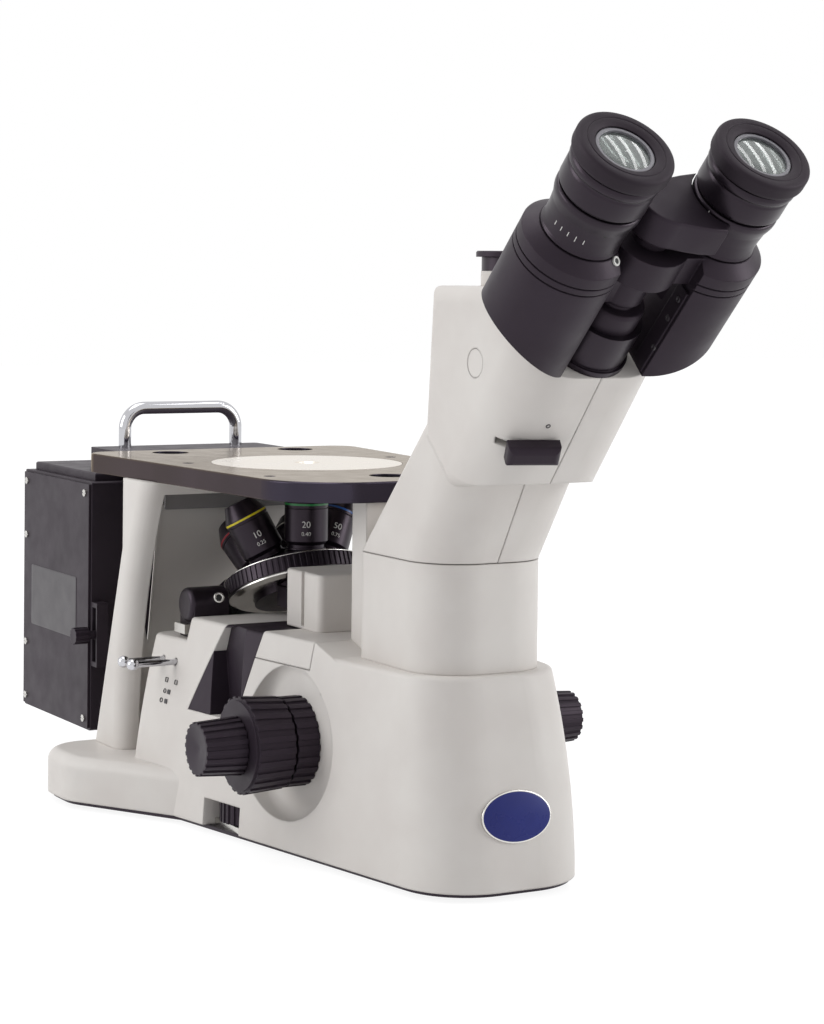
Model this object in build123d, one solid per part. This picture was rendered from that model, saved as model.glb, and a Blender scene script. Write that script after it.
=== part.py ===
from build123d import *
import math
import os

os.makedirs("parts", exist_ok=True)

# Frame: +Z up, -Y toward the user, +X to the user's right.
# The origin is on the table, straight under the optical axis of the stage.

# Clearances between pieces
running_clearance = 0.3
seam_gap = 0.5
seat_clearance = 0.25

# Reach of a cutter past the faces that it cuts
cut_reach = 1.0

# Feet and base plate
foot_height = 2.5
foot_radius = 11.0
foot_inset = 24.0
base_plate_thickness = 2.0
base_plate_inset = 2.5

# Base casting
front_nose_y = -238.0
front_half_width = 44.0
front_corner_radius = 38.0
front_corner_taper = 6.0
body_rear_y = 50.0
body_rear_half_width = 92.0
body_corner_radius = 10.0
body_bulge_height = 50.0
body_bulge_inset = 2.5
shoulder_height = 109.5
shoulder_front_inset = 20.0
shoulder_side_inset = 4.0
shoulder_rear_side_inset = 18.0
body_wall = 6.0
plinth_half_width = 122.0
plinth_rear_y = 112.0
plinth_side_y = 62.0
plinth_waist_y = -20.0
plinth_height = 30.0
plinth_corner_radius = 26.0
plinth_edge_radius = 7.0
rear_step_height = 101.5
rear_step_y = 9.0
saddle_height = 114.5
cover_block_height = 115.5
cover_block_front_y = -113.0
cover_block_rear_y = -64.0
cover_seam_height = 100.5
shoulder_start_y = -131.0
casting_edge_radius = 2.5
cover_edge_radius = 2.0

# Black saddle between the rear block and the cover block
saddle_rear_y = -27.0
saddle_lean = 22.0
saddle_front_lean = 12.0
saddle_depth = 7.0
saddle_floor_height = 65.0
saddle_pocket_depth = 9.0
saddle_pocket_margin = 4.0

# Rear arm
arm_half_width = 88.0
arm_front_top_y = 28.0
arm_pad_y = 62.0
arm_pad_height = 18.0
arm_foot_front_y = 66.0
arm_foot_rear_y = 108.0
arm_side_radius = 9.0
arm_bow = 10.0
arm_cheek = 13.0
arm_wall = 8.0
arm_spine_half_width = 60.0
arm_spine_top_y = 82.0
arm_roof = 8.0
arm_pocket_radius = 22.0
arm_upright_share = 0.85
arm_step_radius = 1.0

# Stage
stage_top = 201.5
stage_thickness = 11.0
stage_rear_y = 120.0
stage_front_y = -132.0
stage_rear_half_width = 90.0
stage_front_half_width = 71.0
stage_rear_radius = 14.0
stage_front_radius = 44.0
insert_radius = 55.0
insert_thickness = 3.0
insert_ledge = 5.0
specimen_hole_radius = 6.0
specimen_hole_bevel = 1.5
stage_bore_radius = 11.0
stage_bore_depth = 5.0
stage_bore_y = 98.0
stage_bore_x = 42.0
stage_edge_chamfer = 0.8
stage_bolt_radius = 6.6
stage_bolt_height = 3.5
bolt_socket_radius = 3.0
bolt_socket_depth = 2.0
stage_screw_radius = 3.0
stage_screw_depth = 2.0
stage_screw_height = 1.6
screw_socket_radius = 1.4
screw_socket_depth = 0.8
stage_screw_rear_y = 19.6
stage_screw_rear_x = 66.0
stage_screw_front_y = -78.4
stage_screw_front_x = 62.7

# Front column and the stage's front support
column_half_width = 37.0
column_front_y = -212.0
column_rear_y = -130.0
column_top = 166.0
column_front_radius = 28.0
column_rear_radius = 9.0
support_half_width = 30.0
support_front_y = -129.0
support_depth = 20.0
support_gap = 1.25
support_edge_radius = 4.5

# Viewing head housing
neck_drop = 62.0
neck_top_front_y = -258.0
neck_top_rear_y = -206.0
neck_top_half_width = 38.5
neck_front_radius = 19.6
head_half_width = 40.0
head_roof_length = 53.5
head_rear_lean = 6.0
head_rear_drop = 77.0
head_top_height = 306.0
chin_drop = 99.0
chin_rear_y = -226.0
chin_depth = 34.0
chin_rise = 3.0
eye_incline = 45.0
head_face_front_y = -304.0
head_face_rise = 42.5
head_edge_radius = 8.0
head_nose_radius = 27.0
plug_radius = 7.0
plug_thickness = 2.0
plug_inset = 52.0
plug_drop = 37.0

# Photo port on top of the head
port_inset = 13.0
port_radius = 15.0
port_collar_height = 7.5
port_tube_height = 7.0
port_cap_height = 3.0
port_cap_overhang = 2.5
port_cap_chamfer = 0.6
port_sleeve_step = 0.3
port_bore_radius = 11.5

# Binocular tube
eye_spacing = 75.2
eye_arm_offset = 2.2
pivot_offset = 20.5
housing_radius = 26.4
housing_height = 74.0
housing_shoulder = 5.0
housing_shoulder_radius = 20.0
housing_inner_flat = 23.0
housing_bevel_rise = 22.0
housing_groove_depth = 0.8
housing_groove_width = 1.0
housing_groove_drop = 12.0
housing_groove_spacing = 4.0
mount_disc_radius = 20.5
mount_disc_thickness = 3.0
drum_radius = 19.0
drum_height = 24.0
pivot_post_radius = 6.0
left_knuckle_start = 39.0
left_knuckle_height = 14.0
left_knuckle_radius = 12.0
hub_arm_share = 0.7
hood_start = 57.0
hood_height = 16.5
hood_radius = 20.0
eyetube_bore = 15.1
eyetube_radius = 16.2
diopter_height = 24.0
diopter_radius = 19.4
diopter_waist = 17.4
diopter_foot_step = 0.7
diopter_foot_share = 0.12
diopter_rim_share = 0.78
eyepiece_height = 25.5
eyepiece_radius = 20.8
eyepiece_barrel_radius = 15.0
eyepiece_barrel_length = 30.0
barrel_clearance = 0.1
eyepiece_step = 1.6
eyepiece_chamfer = 1.2
eyepiece_band = 11.5
eyepiece_taper = 4.8
eyecup_height = 12.0
eyecup_radius = 23.7
eyecup_lip = 3.0
eyecup_edge = 1.8
eyecup_dish = 2.4
eye_lens_radius = 14.4
eye_lens_recess = 2.5
eye_lens_edge = 1.0
eye_lens_rise = 1.3
eye_lens_margin = 1.2
hinge_plate_thickness = 1.2
hinge_plate_front = -20.6
hinge_plate_width = 8.7
hinge_plate_start = 2.2

# Focus drive
focus_y = -103.0
focus_height = 62.0
coarse_face_x = 92.5
coarse_radius = 26.0
coarse_length = 23.0
coarse_taper = 1.5
coarse_face_step = 1.2
coarse_rim = 2.2
coarse_rib_count = 24
fine_end_x = 116.0
fine_radius = 14.2
fine_root_radius = 15.6
fine_dish_lip = 2.0
fine_dish_depth = 1.5
fine_rib_count = 20
knob_rib_depth = 0.9
torque_ring_radius = 24.0
torque_ring_length = 12.5
coarse_shaft_radius = 9.0
fine_shaft_radius = 4.0
knob_scoop_radius = 42.0
knob_seat_x = 55.0

# Nosepiece
turret_tilt = 25.0
turret_apex_height = 105.0
turret_radius = 41.5
turret_plane = 34.4
turret_band = 9.4
turret_hub_radius = 9.0
turret_rim_height = 3.0
turret_rim_inset = 1.2
turret_rim_land = 1.2
turret_lip = 2.5
turret_rib_count = 72
turret_rib_depth = 0.6
objective_count = 5
objective_seat = 47.0
objective_collar = 3.0
objective_tip = 83.0
objective_base_radius = 10.5
objective_radius = 12.6
objective_nose_radius = 8.5
objective_lens_radius = 4.0
objective_lens_recess = 2.0
objective_nose_height = 9.0
objective_groove = 0.6
objective_groove_drop = 3.0
objective_spot_margin = 1.2
carrier_radius = 26.0
carrier_thickness = 6.0
carrier_half_width = 22.0
carrier_bottom = 120.5
carrier_top = 132.0
focus_up = 5.0
focus_down = 5.0

# Focus guide
guide_half_width = 35.0
guide_rear_y = -43.0
guide_front_y = -84.0
guide_height = 147.0
guide_groove_y = -65.0
guide_groove = 1.6
guide_corner_radius = 4.0
guide_edge_radius = 1.5

# Illuminator under the nosepiece
illuminator_rise = 18.5
illuminator_radius = 10.0
illuminator_left_x = -67.0
illuminator_right_x = -43.5
illuminator_y = 21.0
illuminator_edge_radius = 3.0
illuminator_leg_inset = 2.0
filter_lever_length = 4.7
filter_lever_width = 14.0
filter_lever_thickness = 5.5
light_tube_height = 108.0
light_tube_radius = 20.0
light_tube_wall = 3.0
collector_inset = 10.0
collector_edge = 3.0
collector_rise = 5.0

# Lamp house
lamp_half_width = 80.0
lamp_front_y = 132.0
lamp_rear_y = 243.0
lamp_bottom = 30.0
lamp_top = 182.0
lamp_wall = 2.0
lamp_edge_radius = 1.5
lamp_vent_count = 5
lamp_vent_start = 20.0
lamp_vent_end = 60.0
lamp_vent_drop = 20.0
lamp_vent_spacing = 8.0
lamp_vent_width = 4.0
lamp_lid_inset = 6.0
lamp_lid_height = 5.0
lamp_lid_chamfer = 0.8
lamp_panel_thickness = 1.5
lamp_panel_margin = 1.5
lamp_screw_radius = 2.2
lamp_screw_inset = 7.0
lamp_screw_height = 1.2
lamp_screw_slot = 0.7
lamp_guide_width = 7.5
lamp_guide_depth = 9.0
lamp_slot_end = 3.0
lamp_slot_bottom = 70.0
lamp_slot_top = 109.0
lamp_knob_radius = 5.1
lamp_knob_shaft_radius = 2.6
lamp_knob_height = 9.0
lamp_knob_gap = 3.0
lamp_knob_rib_count = 12
lamp_knob_rib_depth = 0.4
socket_foot_length = 40.0
socket_foot_width = 30.0
socket_foot_height = 4.0
socket_radius = 12.0
bulb_filament_height = 20.0
bulb_foot_radius = 5.0
bulb_neck_height = 8.0
bulb_radius = 6.5
bulb_height = 34.0

# Bridge between the arm and the lamp house, with the handle
bridge_half_width = 58.0
bridge_rear_y = 186.0
bridge_top = 199.5
bridge_tongue_rise = 2.0
bridge_gap = 1.0
bridge_edge_radius = 3.0
handle_half_span = 38.4
handle_y = 176.0
handle_rise = 24.5
handle_tube_radius = 4.0
handle_bend_radius = 13.0
handle_foot_depth = 6.0

# Pull rods, light wheel and head slider
rod_height = 88.5
rod_front_y = 16.0
rod_spacing = 13.0
rod_radius = 1.8
rod_ball_radius = 3.4
rod_stand_out = 28.7
rod_travel = 18.0
wheel_y = -48.0
wheel_radius = 19.0
wheel_thickness = 11.0
wheel_bottom = 8.5
wheel_stand_out = 1.5
wheel_rib_depth = 0.8
wheel_bracket_inset = 3.0
wheel_rib_count = 28
wheel_window_length = 34.0
slider_length = 26.0
slider_height = 11.0
slider_slot_height = 3.6
slider_lift = 0.5
slider_depth = 8.0
slider_x = -20.0
slider_y = -274.4
slider_drop = 77.0
slider_edge_radius = 3.3
slider_turn = 19.2
slider_pitch = 37.8
slider_travel = 8.0

# Mains inlet and switch on the rear of the base
inlet_width = 27.0
inlet_height = 19.5
inlet_x = 40.0
inlet_depth = 15.0
inlet_wall = 2.0
inlet_pin_spacing = 7.0
inlet_pin_offset = 2.0
inlet_pin_width = 2.0
inlet_pin_sink = 3.0
switch_width = 21.0
switch_height = 15.0
switch_x = -40.0
switch_wall = 1.5
switch_tip = 12.0
rocker_taper = 3.2
rocker_depth = 5.5


def half_polygon(points):
    """Return the closed outline whose right half is given as (x, y) points."""
    left = [(-x, y) for x, y in reversed(points)]
    return Polyline(*points, *left, close=True)


def rounded_outline(points, radii, height):
    """Return a face at a height, mirrored about X = 0, with its own radius at each corner."""
    face = make_face(half_polygon(points))
    for (x, y), radius in zip(points, radii):
        corners = [v for v in face.vertices() if abs(abs(v.X) - abs(x)) < 0.01 and abs(v.Y - y) < 0.01]
        face = fillet(corners, radius)
    return Pos(0, 0, height) * face


def side_profile(points, half_width):
    """Extrude a (y, z) outline to both sides of X = 0."""
    face = Plane.YZ * make_face(Polyline(*points, close=True))
    return extrude(face, half_width, both=True)


def ring(outer_radius, inner_radius, height):
    """Return an upright tube standing on its own origin."""
    tube = Cylinder(outer_radius, height) - Cylinder(inner_radius, height)
    return Pos(0, 0, height / 2) * tube


def post(radius, height):
    """Return an upright cylinder standing on its own origin."""
    return Pos(0, 0, height / 2) * Cylinder(radius, height)


def turned(points):
    """Revolve an (r, z) outline about the Z axis."""
    face = Plane.XZ * make_face(Polyline(*points, close=True))
    return revolve(face, Axis.Z)


def ribbed_section(radius, count, rib_depth):
    """Return a knob's cross-section: a disc with straight-sided grooves between its ribs."""
    groove_width = math.pi * radius / count
    notch = Pos(radius, 0) * Rectangle(2 * rib_depth, groove_width)
    notches = [Rot(0, 0, 360 * (i + 0.5) / count) * notch for i in range(count)]
    return Circle(radius) - notches


def ribbed(outer_radius, root_radius, height, count, rib_depth):
    """Return a knob body with raised ribs along its length, of its own radius at each end."""
    root = ribbed_section(root_radius, count, rib_depth)
    if outer_radius == root_radius:
        return extrude(root, height)
    return loft([root, Pos(0, 0, height) * ribbed_section(outer_radius, count, rib_depth)])


def box_between(x0, x1, y0, y1, z0, z1):
    """Return the box between two corners."""
    centre = Pos((x0 + x1) / 2, (y0 + y1) / 2, (z0 + z1) / 2)
    return centre * Box(abs(x1 - x0), abs(y1 - y0), abs(z1 - z0))


# Levels worked out from the driving sizes
base_bottom = foot_height + base_plate_thickness
stage_bottom = stage_top - stage_thickness
eye_axis = Vector(0, -math.sin(math.radians(eye_incline)), math.cos(math.radians(eye_incline)))
face_back = Vector(0, math.cos(math.radians(eye_incline)), math.sin(math.radians(eye_incline)))
face_front = Vector(0, head_face_front_y, head_top_height - head_face_rise)
pivot_point = face_front + face_back * pivot_offset
eye_plane = Plane(origin=pivot_point, x_dir=(1, 0, 0), z_dir=eye_axis)
chin_height = head_top_height - chin_drop
chin_front = Vector(0, chin_rear_y - chin_depth, chin_height + chin_rise)
face_length = head_face_rise / math.sin(math.radians(eye_incline))
face_rear = face_front + face_back * face_length
head_rear_y = face_rear.Y + head_roof_length + head_rear_lean
head_bottom_height = head_top_height - head_rear_drop
neck_top = head_top_height - neck_drop
port_y = head_rear_y - head_rear_lean - port_inset
slider_z = head_top_height - slider_drop
illuminator_height = rear_step_height + illuminator_rise
turret_axis = Vector(0, math.sin(math.radians(turret_tilt)), math.cos(math.radians(turret_tilt)))
turret_apex = Vector(0, 0, turret_apex_height)
turret_frame = Plane(origin=turret_apex, x_dir=(1, 0, 0), z_dir=turret_axis)
focus_frame = Plane(origin=(0, focus_y, focus_height), x_dir=(0, 1, 0), z_dir=(-1, 0, 0))


def body_half_width(y, height):
    """Return the half width of the front body's trapezium at a place and height."""
    low_front = front_half_width
    low_rear = body_rear_half_width
    share = (height - base_bottom) / (shoulder_height - base_bottom)
    front = low_front - shoulder_side_inset * share
    rear = low_rear - shoulder_rear_side_inset * share
    front_y = front_nose_y + front_corner_radius + shoulder_front_inset * share
    along = (y - front_y) / (body_rear_y - front_y)
    return front + (rear - front) * along


def body_section(height, extra_inset=0.0):
    """Return the front body's rounded outline at a height."""
    share = (height - base_bottom) / (shoulder_height - base_bottom)
    bulge = 1.0 - (2.0 * share - 1.0) ** 2
    swell = body_bulge_inset * bulge
    nose = front_nose_y + shoulder_front_inset * share - swell + extra_inset
    corner_y = nose
    front = body_half_width(nose + front_corner_radius, height) + swell - extra_inset
    rear = body_half_width(body_rear_y, height) + swell - extra_inset
    points = [(front, corner_y), (rear, body_rear_y - extra_inset)]
    radii = [front_corner_radius - extra_inset - 6.0 * share, body_corner_radius]
    return rounded_outline(points, radii, height)


def plinth_section(height, inset=0.0):
    """Return the wide rear plinth's outline at a height."""
    side = plinth_half_width - inset
    rear = plinth_rear_y - inset
    waist = body_half_width(plinth_waist_y, base_bottom) - body_wall
    front = body_half_width(plinth_waist_y * 2, base_bottom) - body_wall
    points = [(front, plinth_waist_y * 2), (waist, plinth_waist_y), (side, plinth_side_y), (side, rear)]
    radii = [body_corner_radius / 2, plinth_corner_radius, plinth_corner_radius, plinth_corner_radius]
    return rounded_outline(points, radii, height)


def column_section(height, inset=0.0):
    """Return the column's outline, with a large radius at the front corners."""
    half = column_half_width - inset
    points = [(half, column_front_y + inset), (half, column_rear_y - inset)]
    return rounded_outline(points, [column_front_radius - inset, column_rear_radius], height)


def saddle_profile(clearance):
    """Return the leaning (y, z) outline of the black saddle."""
    return [
        (saddle_rear_y + clearance, saddle_height + body_wall),
        (saddle_rear_y + clearance, saddle_height),
        (saddle_rear_y + saddle_lean + clearance, saddle_floor_height - clearance),
        (cover_block_rear_y + saddle_front_lean - clearance, saddle_floor_height - clearance),
        (cover_block_rear_y - clearance, saddle_height),
        (cover_block_rear_y - clearance, saddle_height + body_wall),
    ]


def body_top_profile():
    """Return the (y, z) outline that the front body keeps under its stepped top."""
    return [
        (plinth_rear_y, base_bottom),
        (plinth_rear_y, rear_step_height),
        (rear_step_y, rear_step_height),
        (rear_step_y, saddle_height),
        (cover_block_rear_y, saddle_height),
        (cover_block_rear_y, cover_block_height),
        (cover_block_front_y, cover_block_height),
        (shoulder_start_y, shoulder_height),
        (front_nose_y - body_wall, shoulder_height),
        (front_nose_y - body_wall, base_bottom),
    ]


def front_body():
    """Return the front body: a lofted, tapering block with a stepped top and soft long edges."""
    heights = [base_bottom, body_bulge_height, shoulder_height, cover_block_height + body_wall]
    block = loft([body_section(height) for height in heights])
    block = block & side_profile(body_top_profile(), body_rear_half_width + plinth_edge_radius)
    shoulder = [e for e in block.edges() if abs(e.center().Z - shoulder_height) < 0.01
                and e.center().Y < shoulder_start_y - cut_reach]
    block = fillet(shoulder, casting_edge_radius)
    for height in (saddle_height, rear_step_height):
        long_edges = [e for e in block.edges() if abs(e.center().Z - height) < 0.01
                      and abs(e.center().X) > column_half_width]
        block = fillet(long_edges, casting_edge_radius)
    return block


def base_cutters():
    """Return every pocket and bore of the base casting."""
    cutters = []
    outer = side_profile(saddle_profile(seat_clearance), body_rear_half_width + plinth_edge_radius)
    cutters.append(outer - saddle_core(saddle_depth + seat_clearance))
    cutters.append(side_profile(cover_profile(0), body_rear_half_width + plinth_edge_radius))
    scoop = post(knob_scoop_radius, knob_scoop_radius)
    scoop = fillet(scoop.edges().sort_by(Axis.Z)[0], saddle_depth)
    for side in (1, -1):
        seat = Pos(side * knob_seat_x, focus_y, focus_height) * Rot(0, side * 90, 0)
        cutters.append(seat * scoop)
    shaft_bore = post(coarse_shaft_radius + running_clearance, 2 * body_rear_half_width)
    cutters.append(focus_frame * Pos(0, 0, -body_rear_half_width) * shaft_bore)
    for index in range(2):
        place = Pos(-body_rear_half_width, rod_front_y + index * rod_spacing, rod_height) * Rot(0, 90, 0)
        cutters.append(place * post(rod_radius + running_clearance, body_rear_half_width))
    well = Pos(wheel_x(), wheel_y, wheel_bottom - running_clearance) * post(
        wheel_radius + 2 * running_clearance, wheel_thickness + 2 * running_clearance
    )
    cutters.append(well)
    window = box_between(
        -body_rear_half_width - plinth_edge_radius, wheel_x(), wheel_y - wheel_window_length / 2,
        wheel_y + wheel_window_length / 2, base_bottom - cut_reach, wheel_bottom + wheel_thickness + running_clearance,
    )
    cutters.append(window)
    cutters.append(rear_pocket(inlet_x, inlet_width, inlet_height))
    cutters.append(rear_pocket(switch_x, switch_width, switch_height))
    return cutters


def rear_pocket(x, width, height):
    """Return a pocket in the plinth's rear face for a panel-mounted piece."""
    centre = (base_bottom + plinth_height) / 2
    return box_between(
        x - width / 2 - seat_clearance, x + width / 2 + seat_clearance, plinth_rear_y - inlet_depth,
        plinth_rear_y + cut_reach, centre - height / 2 - seat_clearance, centre + height / 2 + seat_clearance,
    )


def wheel_x():
    """Return the light wheel's axis, so that its rim stands out of the base's side."""
    return -(body_half_width(wheel_y, wheel_bottom) - wheel_radius + wheel_stand_out)


def base_frame():
    """Return the die-cast base with its plinth, front body, pockets and bores."""
    plinth = extrude(plinth_section(base_bottom), plinth_height - base_bottom)
    top_edges = plinth.edges().filter_by(lambda e: e.center().Z > plinth_height - 0.01)
    plinth = fillet(top_edges, plinth_edge_radius)
    body = front_body() + plinth
    return body - base_cutters()


def saddle_core(depth):
    """Return the block left standing under the saddle, which the saddle wraps."""
    half = body_half_width(cover_block_rear_y, saddle_height) - depth
    return box_between(-half, half, cover_block_front_y, body_rear_y, 0, saddle_height - depth)


def saddle():
    """Return the black saddle with a pocket in each side."""
    shape = front_body() & side_profile(saddle_profile(0), body_rear_half_width)
    shape -= saddle_core(saddle_depth)
    lean = math.degrees(math.atan2(saddle_lean, saddle_height - saddle_floor_height))
    pocket_length = (saddle_rear_y - cover_block_rear_y) - 2 * saddle_pocket_margin
    pocket_height = saddle_height - saddle_floor_height
    middle_y = (saddle_rear_y + cover_block_rear_y + saddle_lean / 2 + saddle_front_lean / 2) / 2
    middle_z = (saddle_height + saddle_floor_height) / 2
    outer_x = body_half_width(saddle_rear_y, saddle_floor_height)
    pocket = Box(2 * saddle_pocket_depth, pocket_length, pocket_height)
    for side in (1, -1):
        place = Pos(side * outer_x, middle_y, middle_z) * Rot(-lean / 2, 0, 0)
        shape -= place * pocket
    return shape


def cover_profile(clearance):
    """Return the (y, z) outline that the cover under the focus guide fills, up past its top."""
    rear = cover_block_rear_y - seat_clearance
    share = (saddle_height - cover_seam_height - clearance) / (saddle_height - saddle_floor_height)
    return [
        (cover_block_front_y + clearance, cover_seam_height + clearance),
        (rear + saddle_front_lean * share, cover_seam_height + clearance),
        (rear, saddle_height),
        (rear, cover_block_height + body_wall),
        (cover_block_front_y + clearance, cover_block_height + body_wall),
    ]


def guide_cover():
    """Return the pale cover on the block under the focus guide, with softened long edges."""
    cover = front_body() & side_profile(cover_profile(seam_gap), body_rear_half_width)
    top_edges = cover.faces().sort_by(Axis.Z)[-1].edges()
    return fillet(top_edges.filter_by(lambda e: abs(e.center().X) > guide_half_width), cover_edge_radius)


def base_plate():
    """Return the recessed black plate under the casting."""
    front = Pos(0, 0, foot_height) * body_section(base_bottom, base_plate_inset).moved(Pos(0, 0, -base_bottom))
    rear = Pos(0, 0, foot_height) * plinth_section(base_bottom, base_plate_inset).moved(Pos(0, 0, -base_bottom))
    plate = extrude(front, base_plate_thickness) + extrude(rear, base_plate_thickness)
    return plate


def feet():
    """Return the four rubber feet."""
    rear_x = plinth_half_width - foot_inset
    rear_y = plinth_rear_y - foot_inset
    front_y = front_nose_y + 2 * foot_inset
    front_x = body_half_width(front_y, base_bottom) - foot_inset
    foot = post(foot_radius, foot_height)
    places = [(rear_x, rear_y), (-rear_x, rear_y), (front_x, front_y), (-front_x, front_y)]
    return [Pos(x, y, 0) * foot for x, y in places]


def arm_pocket():
    """Return the deep front pocket between the arm's cheeks, which gives the objectives room."""
    half = arm_half_width - arm_cheek
    front = arm_front_top_y - arm_half_width
    radii = [arm_step_radius, arm_pocket_radius]
    low = rounded_outline([(half, front), (half, arm_foot_rear_y - arm_wall)], radii, plinth_height)
    high = rounded_outline([(half, front), (half, arm_spine_top_y - arm_wall)], radii, stage_bottom - arm_roof)
    return loft([low, high])


def rear_arm():
    """Return the leaning rear arm that carries the back of the stage."""
    front_top = (arm_front_top_y, stage_bottom)
    front_mid = ((arm_front_top_y + arm_foot_front_y) / 2 + arm_bow, (stage_bottom + plinth_height) / 2)
    front_foot = (arm_foot_front_y, plinth_height)
    pad_low = (arm_pad_y, stage_bottom - arm_pad_height)
    with_bow = ThreePointArc(front_top, front_mid, front_foot)
    outline = with_bow + Polyline(front_foot, (arm_foot_rear_y, plinth_height), pad_low,
                                  (arm_pad_y, stage_bottom), front_top)
    arm = extrude(Plane.YZ * make_face(outline), arm_half_width, both=True)
    side_edges = arm.edges().filter_by(lambda e: abs(e.center().X) > arm_half_width - cut_reach)
    upright = side_edges.filter_by(lambda e: e.length > (stage_bottom - plinth_height) * arm_upright_share)
    arm = fillet(upright, arm_side_radius)
    spine = side_profile([
        (arm_foot_front_y, plinth_height), (arm_foot_rear_y, plinth_height),
        (arm_spine_top_y, stage_bottom - arm_pad_height), (arm_pad_y, stage_bottom - arm_pad_height),
        (arm_front_top_y + arm_bow, stage_bottom - arm_roof),
    ], arm_spine_half_width)
    spine = fillet(spine.edges().filter_by(lambda e: e.center().Y > arm_spine_top_y + cut_reach
                                           and abs(e.center().X) > arm_spine_half_width - cut_reach), arm_side_radius)
    bore = Pos(0, arm_foot_rear_y + light_tube_radius, light_tube_height) * Rot(90, 0, 0) * post(
        light_tube_radius + seat_clearance, arm_foot_rear_y
    )
    return arm + spine - arm_pocket() - bore


def front_column():
    """Return the column that rises from the base's shoulder to the viewing head."""
    column = extrude(column_section(shoulder_height), column_top - seam_gap - shoulder_height)
    return column - side_profile(body_top_profile(), body_rear_half_width)


def stage_support():
    """Return the pillar behind the column that carries the front of the stage."""
    pillar = box_between(
        -support_half_width, support_half_width, support_front_y + support_gap,
        support_front_y + support_depth, shoulder_height, stage_bottom,
    )
    pillar = fillet(pillar.edges().filter_by(Axis.Z).group_by(Axis.Y)[-1], support_edge_radius)
    return pillar - side_profile(body_top_profile(), body_rear_half_width)


def stage_outline():
    """Return the stage's plan outline as a face at the height of its underside."""
    points = [(stage_front_half_width, stage_front_y), (stage_rear_half_width, stage_rear_y)]
    return rounded_outline(points, [stage_front_radius, stage_rear_radius], stage_bottom)


def stage_bore_places():
    """Return where the stage's fixing bores lie."""
    return [(stage_bore_x, stage_bore_y), (-stage_bore_x, stage_bore_y), (0, -stage_bore_y)]


def stage_screw_places():
    """Return where the small screws in the stage's top lie."""
    return [(stage_screw_rear_x, stage_screw_rear_y), (-stage_screw_rear_x, stage_screw_rear_y),
            (stage_screw_front_x, stage_screw_front_y), (-stage_screw_front_x, stage_screw_front_y)]


def stage_plate():
    """Return the flat stage with its counterbore, fixing bores and screw holes."""
    plate = extrude(stage_outline(), stage_thickness)
    plate = chamfer(plate.faces().sort_by(Axis.Z)[-1].outer_wire().edges(), stage_edge_chamfer)
    plate -= Pos(0, 0, stage_bottom - cut_reach) * post(insert_radius - insert_ledge, stage_thickness + 2 * cut_reach)
    seat = stage_top - insert_thickness
    plate -= Pos(0, 0, seat) * post(insert_radius + running_clearance, stage_thickness)
    for x, y in stage_bore_places():
        plate -= Pos(x, y, stage_top - stage_bore_depth) * post(stage_bore_radius, stage_thickness)
    for x, y in stage_screw_places():
        plate -= Pos(x, y, stage_top - stage_screw_depth) * post(stage_screw_radius + seat_clearance, stage_thickness)
    return plate


def socket_head(radius, height, socket_radius, socket_depth):
    """Return a screw's round head with a hexagon socket in its top."""
    socket = Pos(0, 0, height - socket_depth) * extrude(RegularPolygon(socket_radius, 6), height)
    return post(radius, height) - socket


def stage_screws():
    """Return the cap screws in the fixing bores and the small screws in the stage's top."""
    bolt = socket_head(stage_bolt_radius, stage_bolt_height, bolt_socket_radius, bolt_socket_depth)
    screw = socket_head(stage_screw_radius, stage_screw_height, screw_socket_radius, screw_socket_depth)
    bolts = [Pos(x, y, stage_top - stage_bore_depth) * bolt for x, y in stage_bore_places()]
    screws = [Pos(x, y, stage_top - stage_screw_depth) * screw for x, y in stage_screw_places()]
    return bolts + screws


def stage_insert():
    """Return the round insert with the specimen hole in its middle."""
    hole = Pos(0, 0, -cut_reach) * post(specimen_hole_radius, insert_thickness + 2 * cut_reach)
    bevel = Pos(0, 0, insert_thickness - specimen_hole_bevel) * turned([
        (0, 0), (specimen_hole_radius, 0), (specimen_hole_radius + specimen_hole_bevel, specimen_hole_bevel),
        (0, specimen_hole_bevel),
    ])
    return Pos(0, 0, stage_top - insert_thickness) * (post(insert_radius, insert_thickness) - hole - bevel)


def head_block():
    """Return the whole viewing head housing before it is split into halves."""
    neck_low = column_section(column_top)
    neck_points = [(neck_top_half_width, neck_top_front_y), (neck_top_half_width, neck_top_rear_y)]
    neck_high = rounded_outline(neck_points, [neck_front_radius, column_rear_radius], neck_top)
    neck = loft([neck_low, neck_high])
    points = [
        (head_rear_y, head_bottom_height),
        (head_rear_y - head_rear_lean, head_top_height),
        (face_rear.Y, face_rear.Z),
        (face_front.Y, face_front.Z),
        (chin_front.Y, chin_front.Z),
        (chin_rear_y, chin_height),
    ]
    bulge = side_profile(points, head_half_width)
    rear_edges = bulge.edges().filter_by(lambda e: e.center().Y > face_rear.Y and e.center().Z > chin_height)
    bulge = fillet(rear_edges.filter_by(lambda e: abs(e.center().X) > head_half_width - seam_gap), head_edge_radius)
    nose_plane = Plane(origin=face_front, x_dir=(1, 0, 0), z_dir=chin_front - face_front)
    nose_points = [(head_half_width, 0), (head_half_width, head_rear_y)]
    nose = extrude(nose_plane * rounded_outline(nose_points, [head_nose_radius, seam_gap], 0), -2 * head_rear_y,
                   both=True)
    return neck + (bulge & nose)


def head_half(side):
    """Return one half of the viewing head housing, with a fine seam on the middle plane."""
    keep = box_between(side * seam_gap / 2, side * head_half_width * 2, -2 * head_top_height, 0,
                       column_top, 2 * head_top_height)
    half = head_block() & keep
    if side < 0:
        half -= slider_slot()
    for y, z in plug_places():
        half -= Pos(side * (head_half_width - plug_thickness), y, z) * Rot(0, side * 90, 0) * post(
            plug_radius + seat_clearance, head_half_width
        )
    return half


def plug_places():
    """Return where the round plugs in the head's sides lie."""
    return [(head_rear_y - plug_inset, head_top_height - plug_drop)]


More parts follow.
